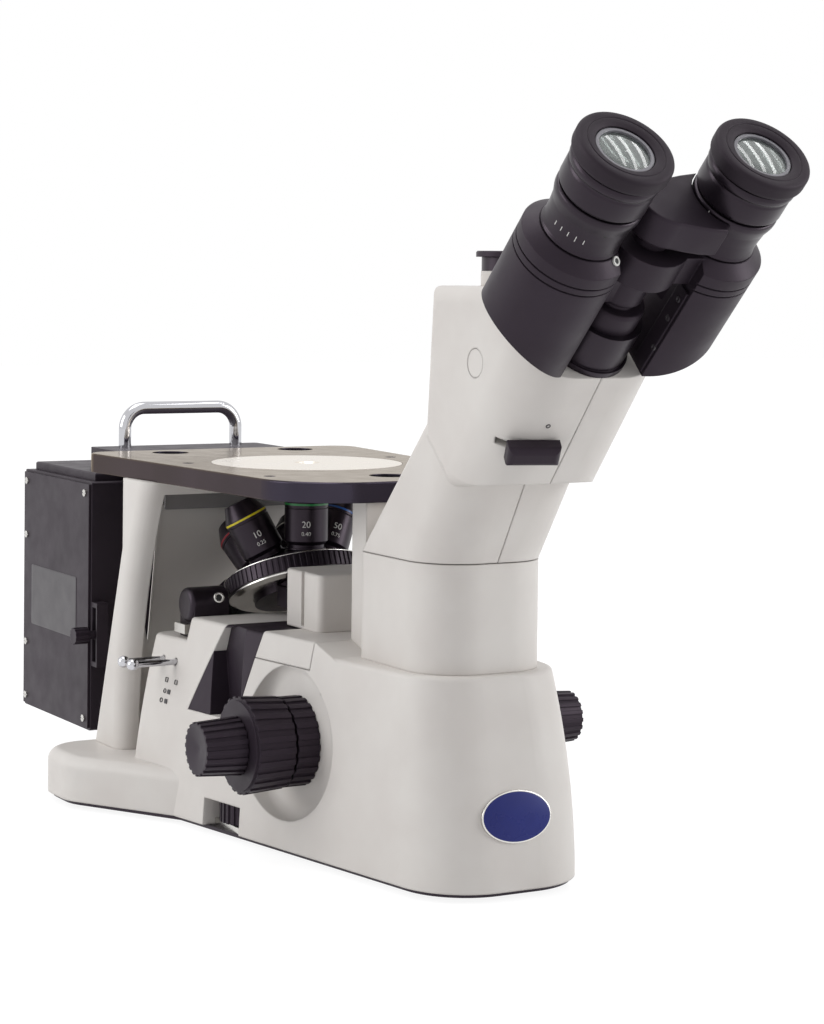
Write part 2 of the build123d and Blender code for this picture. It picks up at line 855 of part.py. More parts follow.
def head_plugs():
    """Return the round plugs that close the side holes of the head."""
    plug = Cylinder(plug_radius, plug_thickness - seat_clearance)
    plugs = []
    for side in (1, -1):
        x = side * (head_half_width - plug_thickness / 2)
        plugs += [Pos(x, y, z) * Rot(0, 90, 0) * plug for y, z in plug_places()]
    return plugs


def slider_frame():
    """Return the slider's frame: X along its travel, Z square out of the head's rounded corner."""
    turn = math.radians(slider_turn)
    pitch = math.radians(slider_pitch)
    outward = (-math.sin(turn) * math.cos(pitch), -math.cos(turn) * math.cos(pitch), -math.sin(pitch))
    return Plane(origin=(slider_x, slider_y, slider_z), x_dir=(math.cos(turn), -math.sin(turn), 0), z_dir=outward)


def slider_slot():
    """Return the slot in the head's left front corner that the slider's stem moves in."""
    slot = Pos(-slider_travel / 2, 0, -slider_depth / 2) * Box(slider_length, slider_slot_height, 3 * slider_depth)
    return slider_frame() * slot


def head_slider():
    """Return the slider's moulded thumb piece with its stem in the slot."""
    grip = Pos(0, 0, slider_lift + slider_depth / 2) * Box(slider_length, slider_height, slider_depth)
    grip = fillet(grip.edges().group_by(Axis.Z)[-1], slider_edge_radius)
    stem_length = slider_length - slider_travel - 4 * running_clearance
    stem_height = slider_slot_height - 2 * running_clearance
    stem = Pos(0, 0, slider_lift - slider_depth / 2) * Box(stem_length, stem_height, slider_depth + cut_reach)
    return slider_frame() * (grip + stem)


def port_tube():
    """Return the photo port: a pale collar with the black tube's bore through it."""
    return Pos(0, port_y, head_top_height) * ring(port_radius, port_bore_radius, port_collar_height)


def port_sleeve():
    """Return the black sleeve on the photo port's collar."""
    base = head_top_height + port_collar_height
    return Pos(0, port_y, base) * ring(port_radius - port_sleeve_step, port_bore_radius, port_tube_height)


def port_cap():
    """Return the dust cap of the photo port, with its plug in the bore."""
    base = head_top_height + port_collar_height + port_tube_height
    cap = post(port_radius + port_cap_overhang, port_cap_height)
    cap = chamfer(cap.edges().group_by(Axis.Z)[-1], port_cap_chamfer)
    plug = Pos(0, 0, -port_tube_height) * post(port_bore_radius - running_clearance, port_tube_height)
    return Pos(0, port_y, base) * (cap + plug)


def eye_point(side):
    """Return an eyetube's centre in the plane of the head's face."""
    return side * eye_spacing / 2, eye_arm_offset


def housing_section(side):
    """Return a prism housing's D-shaped section with its flat toward the middle."""
    x, y = eye_point(side)
    disc = Pos(x, y) * Circle(housing_radius)
    reach = housing_radius * 4
    keep = Pos(side * (housing_inner_flat + reach / 2), y) * Rectangle(reach, reach)
    return disc & keep


def prism_housing(side, hub_start, hub_height, hub_radius):
    """Return a prism housing: bevelled body, grooves, shoulder and the arm to the pivot."""
    x, y = eye_point(side)
    body = extrude(housing_section(side), housing_height)
    wide = housing_radius + cut_reach
    shoulder = Pos(x, y, 0) * turned([
        (0, 0), (wide, 0), (wide, housing_height - housing_shoulder),
        (housing_radius, housing_height - housing_shoulder), (housing_shoulder_radius, housing_height),
        (0, housing_height),
    ])
    body = body & shoulder
    outer = side * (abs(x) + housing_radius)
    far = outer + side * housing_radius
    near = side * housing_inner_flat
    slope = housing_bevel_rise / (outer - near)
    bevel = make_face(Polyline((near, -cut_reach), (far, -cut_reach), (far, (far - near) * slope), (near, 0),
                               close=True))
    body -= extrude(Plane.XZ * bevel, 2 * housing_radius, both=True)
    for index in range(2):
        band = ring(wide, housing_radius - housing_groove_depth, housing_groove_width)
        drop = housing_groove_drop + index * housing_groove_spacing
        body -= Pos(x, y, housing_height - drop) * band
    arm = Pos(side * abs(x) / 2, 0, hub_start + hub_height / 2) * Box(abs(x), 2 * hub_radius * hub_arm_share, hub_height)
    hub = Pos(0, 0, hub_start) * post(hub_radius, hub_height)
    body = body + arm + hub
    body -= Pos(0, 0, hub_start - cut_reach) * post(pivot_post_radius + running_clearance / 2,
                                                    hub_height + 2 * cut_reach)
    body += Pos(x, y, housing_height / 2) * post(eyetube_radius, housing_height / 2 + diopter_height)
    body -= Pos(x, y, housing_height / 2) * post(eyetube_bore, housing_height)
    return Pos(0, 0, running_clearance) * body


def left_prism_housing():
    """Return the left prism housing with its knuckle on the pivot post."""
    return eye_plane * prism_housing(-1, left_knuckle_start, left_knuckle_height, left_knuckle_radius)


def right_prism_housing():
    """Return the right prism housing with the hood over the pivot post."""
    return eye_plane * prism_housing(1, hood_start, hood_height, hood_radius)


def head_mount():
    """Return the mount disc, drum and pivot post that the eyetubes turn on."""
    disc = post(mount_disc_radius, mount_disc_thickness)
    drum = post(drum_radius, drum_height)
    spindle = post(pivot_post_radius, hood_start + hood_height - running_clearance)
    return eye_plane * (disc + drum + spindle)


def hinge_plate():
    """Return the cover plate on the right housing's inner flat."""
    plate = box_between(
        housing_inner_flat - hinge_plate_thickness, housing_inner_flat, eye_arm_offset + hinge_plate_front,
        eye_arm_offset + hinge_plate_front + hinge_plate_width, hinge_plate_start, hood_start - hinge_plate_start,
    )
    return eye_plane * plate


def diopter_ring(side):
    """Return the waisted ring round an eyetube's end."""
    x, y = eye_point(side)
    base = housing_height + 2 * running_clearance
    inner = eyetube_radius + running_clearance
    foot = diopter_radius - diopter_foot_step
    foot_top = diopter_height * diopter_foot_share
    rim_base = diopter_height * diopter_rim_share
    outline = Polyline((inner, 0), (foot, 0), (foot, foot_top))
    waist = ThreePointArc((foot, foot_top), (diopter_waist, (foot_top + rim_base) / 2), (diopter_radius, rim_base))
    top = Polyline((diopter_radius, rim_base), (diopter_radius, diopter_height), (inner, diopter_height), (inner, 0))
    shape = revolve(Plane.XZ * make_face(outline + waist + top), Axis.Z)
    return eye_plane * Pos(x, y, base) * shape


def eyepiece(side):
    """Return an eyepiece: its stepped body and the barrel in the eyetube."""
    x, y = eye_point(side)
    base = housing_height + diopter_height + 3 * running_clearance
    lens_floor = eyepiece_height - eye_lens_recess
    neck = eyepiece_radius - eyepiece_step
    well = eye_lens_radius + eye_lens_margin
    body = turned([
        (0, 0), (eyepiece_radius - eyepiece_chamfer, 0), (eyepiece_radius, eyepiece_chamfer),
        (eyepiece_radius, eyepiece_band), (neck, eyepiece_band + eyepiece_taper), (neck, eyepiece_height),
        (well, eyepiece_height), (well, lens_floor), (0, lens_floor),
    ])
    barrel = Pos(0, 0, -eyepiece_barrel_length) * post(
        eyepiece_barrel_radius - barrel_clearance, eyepiece_barrel_length
    )
    return eye_plane * Pos(x, y, base) * (body + barrel)


def eye_lens(side):
    """Return an eyepiece's domed eye lens."""
    x, y = eye_point(side)
    base = housing_height + diopter_height + 3 * running_clearance + eyepiece_height - eye_lens_recess
    ball = (eye_lens_radius ** 2 + eye_lens_rise ** 2) / (2 * eye_lens_rise)
    height = eye_lens_edge + eye_lens_rise
    lens = post(eye_lens_radius, height) & Pos(0, 0, height - ball) * Sphere(ball)
    return eye_plane * Pos(x, y, base) * lens


def eyecup(side):
    """Return the rolled rubber eyecup round an eyepiece's top."""
    x, y = eye_point(side)
    top = housing_height + diopter_height + 3 * running_clearance + eyepiece_height
    inner = eyepiece_radius - eyepiece_step + seat_clearance
    low = eyecup_lip - eyecup_height
    mouth = eye_lens_radius + eye_lens_margin
    shape = turned([
        (inner, low), (eyecup_radius - eyecup_edge, low), (eyecup_radius, low + eyecup_edge),
        (eyecup_radius, eyecup_lip - eyecup_edge), (eyecup_radius - eyecup_edge, eyecup_lip),
        (mouth + eyecup_dish, eyecup_lip - eyecup_edge / 3), (mouth, eyecup_lip - eyecup_edge),
        (mouth, seat_clearance), (inner, seat_clearance),
    ])
    return eye_plane * Pos(x, y, top) * shape


def focus_side(side):
    """Return the frame of one end of the focus shafts, looking outward."""
    return Plane(origin=(0, focus_y, focus_height), x_dir=(0, 1, 0), z_dir=(side, 0, 0))


def torque_ring():
    """Return the ribbed tension ring between the left coarse knob and the base."""
    start = knob_seat_x + running_clearance
    knob = ribbed(torque_ring_radius, torque_ring_radius, torque_ring_length, coarse_rib_count, knob_rib_depth)
    knob -= Pos(0, 0, -cut_reach) * post(coarse_shaft_radius + running_clearance, torque_ring_length + 2 * cut_reach)
    return focus_side(-1) * Pos(0, 0, start) * knob


def coarse_knobs():
    """Return both coarse knobs on their hollow shaft."""
    inner_face = coarse_face_x - coarse_length
    knob = ribbed(coarse_radius, coarse_radius - coarse_taper, coarse_length, coarse_rib_count, knob_rib_depth)
    rim = Pos(0, 0, coarse_length - coarse_face_step) * ring(
        coarse_radius + cut_reach, coarse_radius - coarse_rim, coarse_face_step + cut_reach
    )
    knob -= rim
    shape = [focus_side(side) * Pos(0, 0, inner_face) * knob for side in (1, -1)]
    half = coarse_face_x - coarse_face_step
    shaft = focus_side(-1) * Pos(0, 0, -half) * post(coarse_shaft_radius, 2 * half)
    bore = focus_side(-1) * Pos(0, 0, -coarse_face_x - cut_reach) * post(
        fine_shaft_radius + running_clearance / 3, 2 * (coarse_face_x + cut_reach)
    )
    return shape[0] + shape[1] + shaft - bore


def fine_knobs():
    """Return both fine knobs on the shaft inside the coarse shaft."""
    start = coarse_face_x + running_clearance
    length = fine_end_x - start
    knob = ribbed(fine_radius, fine_root_radius, length, fine_rib_count, knob_rib_depth)
    lip = fine_radius - fine_dish_lip
    knob -= turned([(0, length - fine_dish_depth), (lip, length), (lip, length + cut_reach), (0, length + cut_reach)])
    shape = [focus_side(side) * Pos(0, 0, start) * knob for side in (1, -1)]
    half = start + cut_reach
    shaft = focus_side(-1) * Pos(0, 0, -half) * post(fine_shaft_radius, 2 * half)
    return shape[0] + shape[1] + shaft


def light_wheel():
    """Return the ribbed light wheel on its upright spindle."""
    wheel = ribbed(wheel_radius, wheel_radius, wheel_thickness, wheel_rib_count, wheel_rib_depth)
    return Pos(wheel_x(), wheel_y, wheel_bottom) * wheel


def wheel_bracket():
    """Return the bright strip under the light wheel."""
    outer = wheel_x() - wheel_radius + wheel_bracket_inset
    return box_between(
        outer, wheel_x(), wheel_y - wheel_window_length / 2 + seat_clearance,
        wheel_y + wheel_window_length / 2 - seat_clearance, base_bottom, wheel_bottom - 2 * running_clearance,
    )


def pull_rod(index):
    """Return one of the two pull rods, turned in one piece with its ball end."""
    y = rod_front_y + index * rod_spacing
    tip = body_half_width(rod_front_y, rod_height) + rod_stand_out
    length = tip - body_half_width(y, rod_height) + rod_travel
    neck = length - math.sqrt(rod_ball_radius ** 2 - rod_radius ** 2)
    stem = Polyline((0, length + rod_ball_radius), (0, 0), (rod_radius, 0), (rod_radius, neck))
    ball = ThreePointArc((rod_radius, neck), (rod_ball_radius, length), (0, length + rod_ball_radius))
    rod = revolve(Plane.XZ * make_face(stem + ball), Axis.Z)
    return Plane(origin=(length - tip, y, rod_height), x_dir=(0, 1, 0), z_dir=(-1, 0, 0)) * rod


def focus_guide():
    """Return the pale guide housing with its side grooves, standing on the guide cover."""
    box = box_between(-guide_half_width, guide_half_width, guide_front_y, guide_rear_y,
                      cover_block_height, guide_height)
    box = fillet(box.edges().filter_by(Axis.Z), guide_corner_radius)
    box = fillet(box.edges().group_by(Axis.Z)[-1], guide_edge_radius)
    for side in (1, -1):
        box -= box_between(
            side * (guide_half_width - guide_groove), side * (guide_half_width + cut_reach),
            guide_groove_y - guide_groove, guide_groove_y + guide_groove,
            cover_block_height + guide_groove, guide_height + cut_reach,
        )
    return box


def cone_height(radius):
    """Return the height of the turret's conical top at a radius, square to the objectives."""
    tilt = math.radians(turret_tilt)
    seat_height = objective_seat * math.cos(tilt)
    seat_radius = objective_seat * math.sin(tilt)
    return seat_height - (radius - seat_radius) * math.tan(tilt)


def nosepiece_carrier():
    """Return the carrier: the turret's bearing disc and the bracket that rides in the guide."""
    disc_base = turret_plane - turret_band - carrier_thickness
    disc = turret_frame * Pos(0, 0, disc_base) * post(carrier_radius, carrier_thickness - running_clearance)
    bracket = box_between(-carrier_half_width, carrier_half_width, guide_rear_y + running_clearance, 0,
                          carrier_bottom, carrier_top)
    rim_base = turret_plane - turret_band - turret_rim_height
    under_rim = turret_frame * Pos(0, 0, rim_base - running_clearance) * post(turret_radius * 2, turret_radius)
    bracket = fillet(bracket.edges().filter_by(Axis.Z).group_by(Axis.Y)[-1], arm_side_radius)
    light_path = Pos(0, 0, carrier_bottom - turret_radius) * post(objective_nose_radius, stage_top)
    return disc + (bracket - under_rim) - light_path


def objective_frame(index):
    """Return the frame of one objective, with Z along its axis from the turret's apex."""
    spin = 360 * index / objective_count
    return turret_frame * Rot(0, 0, spin) * Rot(turret_tilt, 0, 0)


def turret():
    """Return the revolving nosepiece: knurled rim, conical top and spot-faced seats."""
    base = turret_plane - turret_band
    edge = turret_radius + cut_reach
    lip = turret_radius - turret_lip
    hub_top = cone_height(turret_hub_radius)
    outline = turned([
        (0, base), (edge, base), (edge, turret_plane), (lip, turret_plane), (lip, cone_height(lip)),
        (turret_hub_radius, hub_top), (0, hub_top),
    ])
    knurl = ribbed(turret_radius, turret_radius, hub_top - base + cut_reach, turret_rib_count, turret_rib_depth)
    body = turret_frame * (outline & Pos(0, 0, base) * knurl)
    for index in range(objective_count):
        spot = Pos(0, 0, objective_seat - seam_gap) * post(objective_base_radius + objective_spot_margin, turret_radius)
        path = post(objective_nose_radius, turret_radius * 2)
        body -= objective_frame(index) * (spot + path)
    return body


def turret_rim():
    """Return the bright bearing ring under the knurled rim."""
    base = turret_plane - turret_band - turret_rim_height
    inner = carrier_radius + running_clearance
    edge = turret_radius - turret_rim_inset
    outline = turned([
        (inner, base), (edge - turret_rim_height, base), (edge, base + turret_rim_height - turret_rim_land),
        (edge, base + turret_rim_height), (inner, base + turret_rim_height),
    ])
    return turret_frame * outline


def objective(index):
    """Return one objective's stepped barrel."""
    start = objective_seat - seam_gap
    body_start = start + objective_collar
    lens_floor = objective_tip - objective_lens_recess
    groove = objective_tip - objective_nose_height - objective_groove_drop
    shape = turned([
        (0, start), (objective_base_radius, start), (objective_base_radius, body_start),
        (objective_radius, body_start + objective_radius - objective_base_radius),
        (objective_radius, groove - objective_groove), (objective_radius - objective_groove, groove - objective_groove),
        (objective_radius - objective_groove, groove), (objective_radius, groove),
        (objective_radius, objective_tip - objective_nose_height),
        (objective_nose_radius, objective_tip), (objective_lens_radius, objective_tip),
        (objective_lens_radius, lens_floor), (0, lens_floor),
    ])
    return objective_frame(index) * shape


def objective_lenses():
    """Return the front lenses of all the objectives."""
    lens = Pos(0, 0, objective_tip - objective_lens_recess) * post(
        objective_lens_radius - barrel_clearance, objective_lens_recess / 2
    )
    return [objective_frame(index) * lens for index in range(objective_count)]


def illuminator_housing():
    """Return the black reflected light housing beside the nosepiece."""
    length = illuminator_right_x - illuminator_left_x
    drum = Pos(illuminator_left_x, illuminator_y, illuminator_height) * Rot(0, 90, 0) * post(
        illuminator_radius, length
    )
    drum = fillet(drum.edges().group_by(Axis.X)[0], illuminator_edge_radius)
    leg = box_between(
        illuminator_left_x + illuminator_leg_inset, illuminator_right_x, illuminator_y - illuminator_radius,
        illuminator_y + illuminator_radius, rear_step_height, illuminator_height,
    )
    return drum + leg


def filter_lever():
    """Return the bright filter lever under the end of the illuminator housing."""
    inner = illuminator_left_x + illuminator_leg_inset - running_clearance
    top = illuminator_height - illuminator_radius - running_clearance
    half_width = filter_lever_width / 2
    return box_between(
        inner - filter_lever_length, inner, illuminator_y - half_width, illuminator_y + half_width,
        top - filter_lever_thickness, top,
    )


def light_tube():
    """Return the tube that brings the lamp's light through the rear arm's back wall."""
    start = arm_wall_y(light_tube_height)
    tube = ring(light_tube_radius, light_tube_radius - light_tube_wall, lamp_front_y - start)
    return Pos(0, lamp_front_y, light_tube_height) * Rot(90, 0, 0) * tube


def lamp_house():
    """Return the lamp house: a hollow sheet box, open to the light tube and slotted at the rear."""
    outer = box_between(-lamp_half_width + lamp_panel_thickness, lamp_half_width - lamp_panel_thickness,
                        lamp_front_y, lamp_rear_y, lamp_bottom, lamp_top)
    inner = box_between(-lamp_half_width + lamp_wall * 2, lamp_half_width - lamp_wall * 2,
                        lamp_front_y + lamp_wall, lamp_rear_y - lamp_wall,
                        lamp_bottom + lamp_wall, lamp_top - lamp_wall)
    outer = fillet(outer.edges().filter_by(Axis.X), lamp_edge_radius)
    mouth = Pos(0, lamp_front_y + 2 * lamp_wall, light_tube_height) * Rot(90, 0, 0) * post(
        light_tube_radius - light_tube_wall, 3 * lamp_wall
    )
    slots = []
    for side in (1, -1):
        for row in range(lamp_vent_count):
            top = lamp_top - lamp_vent_drop - row * lamp_vent_spacing
            slots.append(box_between(side * lamp_vent_start, side * lamp_vent_end, lamp_rear_y - 2 * lamp_wall,
                                     lamp_rear_y + cut_reach, top - lamp_vent_width, top))
    return outer - inner - mouth - slots


def lamp_lid():
    """Return the raised lid on the lamp house."""
    lid = box_between(-lamp_half_width + lamp_lid_inset, lamp_half_width - lamp_lid_inset,
                      lamp_front_y + lamp_lid_inset, lamp_rear_y - lamp_lid_inset,
                      lamp_top, lamp_top + lamp_lid_height)
    return chamfer(lid.edges().group_by(Axis.Z)[-1], lamp_lid_chamfer)


def lamp_screw_places():
    """Return where the side panel's screws lie, as (y, z) points."""
    front = lamp_front_y + lamp_screw_inset
    rear = lamp_rear_y - lamp_screw_inset
    low = lamp_bottom + lamp_screw_inset
    high = lamp_top - lamp_screw_inset
    third = (high - low) / 4
    return [(front, low), (front, high), (rear, low), (rear, high), (rear, low + third), (rear, high - third)]


def lamp_panels():
    """Return the two side panels of the lamp house."""
    panels = []
    for side in (1, -1):
        panel = box_between(
            side * (lamp_half_width - lamp_panel_thickness), side * lamp_half_width,
            lamp_front_y + lamp_panel_margin, lamp_rear_y - lamp_panel_margin,
            lamp_bottom + lamp_panel_margin, lamp_top - lamp_panel_margin,
        )
        panels.append(panel)
    return panels


def lamp_screws():
    """Return the pan heads of the side panels' screws."""
    slot = Pos(0, 0, lamp_screw_height) * Box(lamp_screw_slot, 2 * lamp_screw_radius, lamp_screw_slot)
    head = post(lamp_screw_radius, lamp_screw_height) - slot
    screws = []
    for side in (1, -1):
        for y, z in lamp_screw_places():
            screws.append(Pos(side * lamp_half_width, y, z) * Rot(0, side * 90, 0) * head)
    return screws


def lamp_guide():
    """Return the slotted guide bar on the lamp house's front edge, where the adjustment knob travels."""
    outer = -lamp_half_width + lamp_panel_thickness
    inner = outer + lamp_guide_width
    middle = lamp_front_y - lamp_guide_depth / 2
    half_slot = lamp_knob_shaft_radius + running_clearance
    bar = box_between(outer, inner, lamp_front_y - lamp_guide_depth, lamp_front_y, lamp_slot_bottom, lamp_slot_top)
    slot = box_between(outer - cut_reach, inner + cut_reach, middle - half_slot, middle + half_slot,
                       lamp_slot_bottom + lamp_slot_end, lamp_slot_top - lamp_slot_end)
    return bar - slot


def lamp_knob():
    """Return the small knob of the lamp's height adjustment, its stud through the guide's slot."""
    inner = lamp_half_width - lamp_panel_thickness - lamp_guide_width
    reach = lamp_half_width + lamp_knob_gap + lamp_knob_height - inner
    place = (-inner, lamp_front_y - lamp_guide_depth / 2, (lamp_slot_bottom + lamp_slot_top) / 2)
    head = ribbed(lamp_knob_radius, lamp_knob_radius, lamp_knob_height, lamp_knob_rib_count, lamp_knob_rib_depth)
    knob = post(lamp_knob_shaft_radius, reach) + Pos(0, 0, reach - lamp_knob_height) * head
    return Plane(origin=place, x_dir=(0, 1, 0), z_dir=(-1, 0, 0)) * knob


def lamp_socket():
    """Return the ceramic socket on its foot inside the lamp house."""
    middle_y = (lamp_front_y + lamp_rear_y) / 2
    floor = lamp_bottom + lamp_wall
    foot = box_between(-socket_foot_length / 2, socket_foot_length / 2, middle_y - socket_foot_width / 2,
                       middle_y + socket_foot_width / 2, floor, floor + socket_foot_height)
    body = Pos(0, middle_y, floor + socket_foot_height) * post(socket_radius, socket_top() - floor - socket_foot_height)
    return foot + body


def halogen_lamp():
    """Return the halogen bulb in its socket."""
    middle_y = (lamp_front_y + lamp_rear_y) / 2
    bulb = turned([
        (0, 0), (bulb_foot_radius, 0), (bulb_foot_radius, bulb_neck_height),
        (bulb_radius, bulb_neck_height + bulb_radius),
        (bulb_radius, bulb_height - bulb_radius), (bulb_radius / 2, bulb_height - bulb_radius / 6), (0, bulb_height),
    ])
    return Pos(0, middle_y, socket_top()) * bulb


def collector_lens():
    """Return the collector lens in the mouth of the light tube."""
    radius = light_tube_radius - light_tube_wall - seat_clearance
    ball = (radius ** 2 + collector_rise ** 2) / (2 * collector_rise)
    height = collector_edge + collector_rise
    lens = post(radius, height) & Pos(0, 0, height - ball) * Sphere(ball)
    return Pos(0, lamp_front_y - collector_inset, light_tube_height) * Rot(90, 0, 0) * lens


def lamp_bridge():
    """Return the black bridge from the rear arm to the lamp house's lid."""
    lid_top = lamp_top + lamp_lid_height
    tongue_low = stage_bottom - arm_pad_height + bridge_tongue_rise
    front = stage_rear_y + bridge_gap
    step = lamp_front_y - bridge_gap
    points = [
        (arm_pad_y, tongue_low), (step, tongue_low), (step, lid_top), (bridge_rear_y, lid_top),
        (bridge_rear_y, bridge_top), (front, bridge_top), (front, stage_bottom), (arm_pad_y, stage_bottom),
    ]
    bridge = side_profile(points, bridge_half_width)
    rear = bridge.edges().filter_by(Axis.Z).group_by(Axis.Y)[-1]
    bridge = fillet(rear, bridge_edge_radius)
    socket = post(handle_tube_radius, handle_foot_depth + cut_reach)
    sockets = [Pos(side * handle_half_span, handle_y, bridge_top - handle_foot_depth) * socket for side in (1, -1)]
    return bridge - sockets


def carry_handle():
    """Return the bent tube handle with its feet in the bridge."""
    low = bridge_top - handle_foot_depth
    top = bridge_top + handle_rise
    path = FilletPolyline((-handle_half_span, handle_y, low), (-handle_half_span, handle_y, top),
                          (handle_half_span, handle_y, top), (handle_half_span, handle_y, low),
                          radius=handle_bend_radius)
    section = Plane(origin=(-handle_half_span, handle_y, low), z_dir=(0, 0, 1)) * Circle(handle_tube_radius)
    return sweep(section, path=path)


def power_inlet():
    """Return the mains inlet in the plinth's rear, with its three contacts."""
    centre = (base_bottom + plinth_height) / 2
    body = panel_block(inlet_x, inlet_width, inlet_height) - panel_well(inlet_x, inlet_width, inlet_height, inlet_wall)
    back = plinth_rear_y - inlet_depth + inlet_wall / 2
    pins = []
    for index in (-1, 0, 1):
        x = inlet_x + index * inlet_pin_spacing
        z = centre + inlet_pin_offset * (1 - 2 * abs(index))
        pins.append(box_between(x - inlet_pin_width / 2, x + inlet_pin_width / 2, back, plinth_rear_y - inlet_pin_sink,
                                z - inlet_pin_width, z + inlet_pin_width))
    return body + pins


def switch_frame():
    """Return the frame round the rocker switch."""
    body = panel_block(switch_x, switch_width, switch_height)
    return body - panel_well(switch_x, switch_width, switch_height, switch_wall)


def rocker_switch():
    """Return the rocker, which tips about an upright pin in its frame."""
    centre = (base_bottom + plinth_height) / 2
    half = switch_width / 2 - switch_wall - 4 * running_clearance
    reach = half * math.tan(math.radians(switch_tip))
    tall = switch_height / 2 - switch_wall - running_clearance
    outline = Polyline((-half, reach), (0, 0), (half, 0), (half - rocker_taper, -rocker_depth),
                       (rocker_taper - half, -rocker_depth), close=True)
    rocker = extrude(make_face(outline), 2 * tall)
    return Pos(switch_x, plinth_rear_y - running_clearance, centre - tall) * rocker


def arm_wall_y(height):
    """Return where the arm's rear wall begins at a height, inside the pocket."""
    share = (height - plinth_height) / (stage_bottom - arm_roof - plinth_height)
    return arm_foot_rear_y - arm_wall + (arm_spine_top_y - arm_foot_rear_y) * share


def socket_top():
    """Return the height of the lamp socket's top, so that the filament stands on the light tube's axis."""
    return light_tube_height - bulb_filament_height


def panel_well(x, width, height, wall):
    """Return the well inside a panel-mounted piece that leaves a wall round and behind it."""
    centre = (base_bottom + plinth_height) / 2
    return box_between(
        x - width / 2 + wall, x + width / 2 - wall, plinth_rear_y - inlet_depth + inlet_wall,
        plinth_rear_y + cut_reach, centre - height / 2 + wall, centre + height / 2 - wall,
    )


def panel_block(x, width, height):
    """Return the outer block of a panel-mounted piece in the plinth's rear face."""
    centre = (base_bottom + plinth_height) / 2
    return box_between(x - width / 2, x + width / 2, plinth_rear_y - inlet_depth, plinth_rear_y,
                       centre - height / 2, centre + height / 2)


def write(shape, name):
    """Write one sub-part's solids to its own file."""
    solids = []
    for item in (shape if isinstance(shape, list) else [shape]):
        solids += item.solids()
    body = solids[0] if len(solids) == 1 else Compound(children=solids)
    export_step(body, f"parts/{name}.step")


pieces = {
    "base_frame": base_frame(),
    "base_plate": base_plate(),
    "rubber_feet": feet(),
    "saddle": saddle(),
    "guide_cover": guide_cover(),
    "rear_arm": rear_arm(),
    "front_column": front_column(),
    "stage_support": stage_support(),
    "stage_plate": stage_plate(),
    "stage_screws": stage_screws(),
    "stage_insert": stage_insert(),
    "head_left_half": head_half(-1),
    "head_right_half": head_half(1),
    "head_plugs": head_plugs(),
    "head_slider": head_slider(),
    "port_collar": port_tube(),
    "port_sleeve": port_sleeve(),
    "port_cap": port_cap(),
    "head_mount": head_mount(),
    "left_prism_housing": left_prism_housing(),
    "right_prism_housing": right_prism_housing(),
    "hinge_plate": hinge_plate(),
    "left_diopter_ring": diopter_ring(-1),
    "right_diopter_ring": diopter_ring(1),
    "left_eyepiece": eyepiece(-1),
    "right_eyepiece": eyepiece(1),
    "left_eye_lens": eye_lens(-1),
    "right_eye_lens": eye_lens(1),
    "left_eyecup": eyecup(-1),
    "right_eyecup": eyecup(1),
    "torque_ring": torque_ring(),
    "coarse_knobs": coarse_knobs(),
    "fine_knobs": fine_knobs(),
    "light_wheel": light_wheel(),
    "wheel_bracket": wheel_bracket(),
    "focus_guide": focus_guide(),
    "nosepiece_carrier": nosepiece_carrier(),
    "turret": turret(),
    "turret_rim": turret_rim(),
    "objective_lenses": objective_lenses(),
    "illuminator_housing": illuminator_housing(),
    "filter_lever": filter_lever(),
    "light_tube": light_tube(),
    "lamp_house": lamp_house(),
    "lamp_lid": lamp_lid(),
    "lamp_panels": lamp_panels(),
    "lamp_screws": lamp_screws(),
    "lamp_guide": lamp_guide(),
    "lamp_knob": lamp_knob(),
    "lamp_socket": lamp_socket(),
    "halogen_lamp": halogen_lamp(),
    "collector_lens": collector_lens(),
    "lamp_bridge": lamp_bridge(),
    "carry_handle": carry_handle(),
    "power_inlet": power_inlet(),
    "switch_frame": switch_frame(),
    "rocker_switch": rocker_switch(),
    "front_pull_rod": pull_rod(0),
    "rear_pull_rod": pull_rod(1),
    "objectives": [objective(index) for index in range(objective_count)],
}

for name, shape in pieces.items():
    write(shape, name)
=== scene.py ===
# %% [markdown]
# An inverted microscope looks up at its specimen: the objectives stand under the stage,
# the light comes in from the lamp house at the rear, and the two eyepieces lean toward the user.
# The hard parts are already modelled as solids. This lesson loads them as a fixed frame,
# gives each one its finish, and adds the fine pieces over them.

# %% Load the frame
import math
import bpy
import mathutils
import numpy as np
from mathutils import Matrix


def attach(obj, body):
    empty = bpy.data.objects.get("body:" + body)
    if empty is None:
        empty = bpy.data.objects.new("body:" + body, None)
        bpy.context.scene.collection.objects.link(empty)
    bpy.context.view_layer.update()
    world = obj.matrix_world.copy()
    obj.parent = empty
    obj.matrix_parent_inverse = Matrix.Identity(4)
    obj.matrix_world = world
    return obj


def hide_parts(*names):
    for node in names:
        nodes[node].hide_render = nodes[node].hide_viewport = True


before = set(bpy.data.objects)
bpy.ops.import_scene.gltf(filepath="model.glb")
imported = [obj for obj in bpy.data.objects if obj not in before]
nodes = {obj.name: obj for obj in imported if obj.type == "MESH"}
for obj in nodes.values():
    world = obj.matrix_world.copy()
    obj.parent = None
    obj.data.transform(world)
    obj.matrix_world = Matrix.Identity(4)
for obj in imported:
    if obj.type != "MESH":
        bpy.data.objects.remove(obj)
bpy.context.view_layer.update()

# %% [markdown]
# The camera stands in front of the left side, a little above the table, with a long lens,
# so upright edges stay upright. A small vertical shift keeps the whole height in the picture.

# %% Camera
picture_height = 1024
focal_pixels = 2555.3
lens_shift_pixels = -150.0
camera_azimuth, camera_pitch, camera_roll = 29.53, 2.13, 0.69
camera_place = (-0.6733, -1.3103, 0.3150)


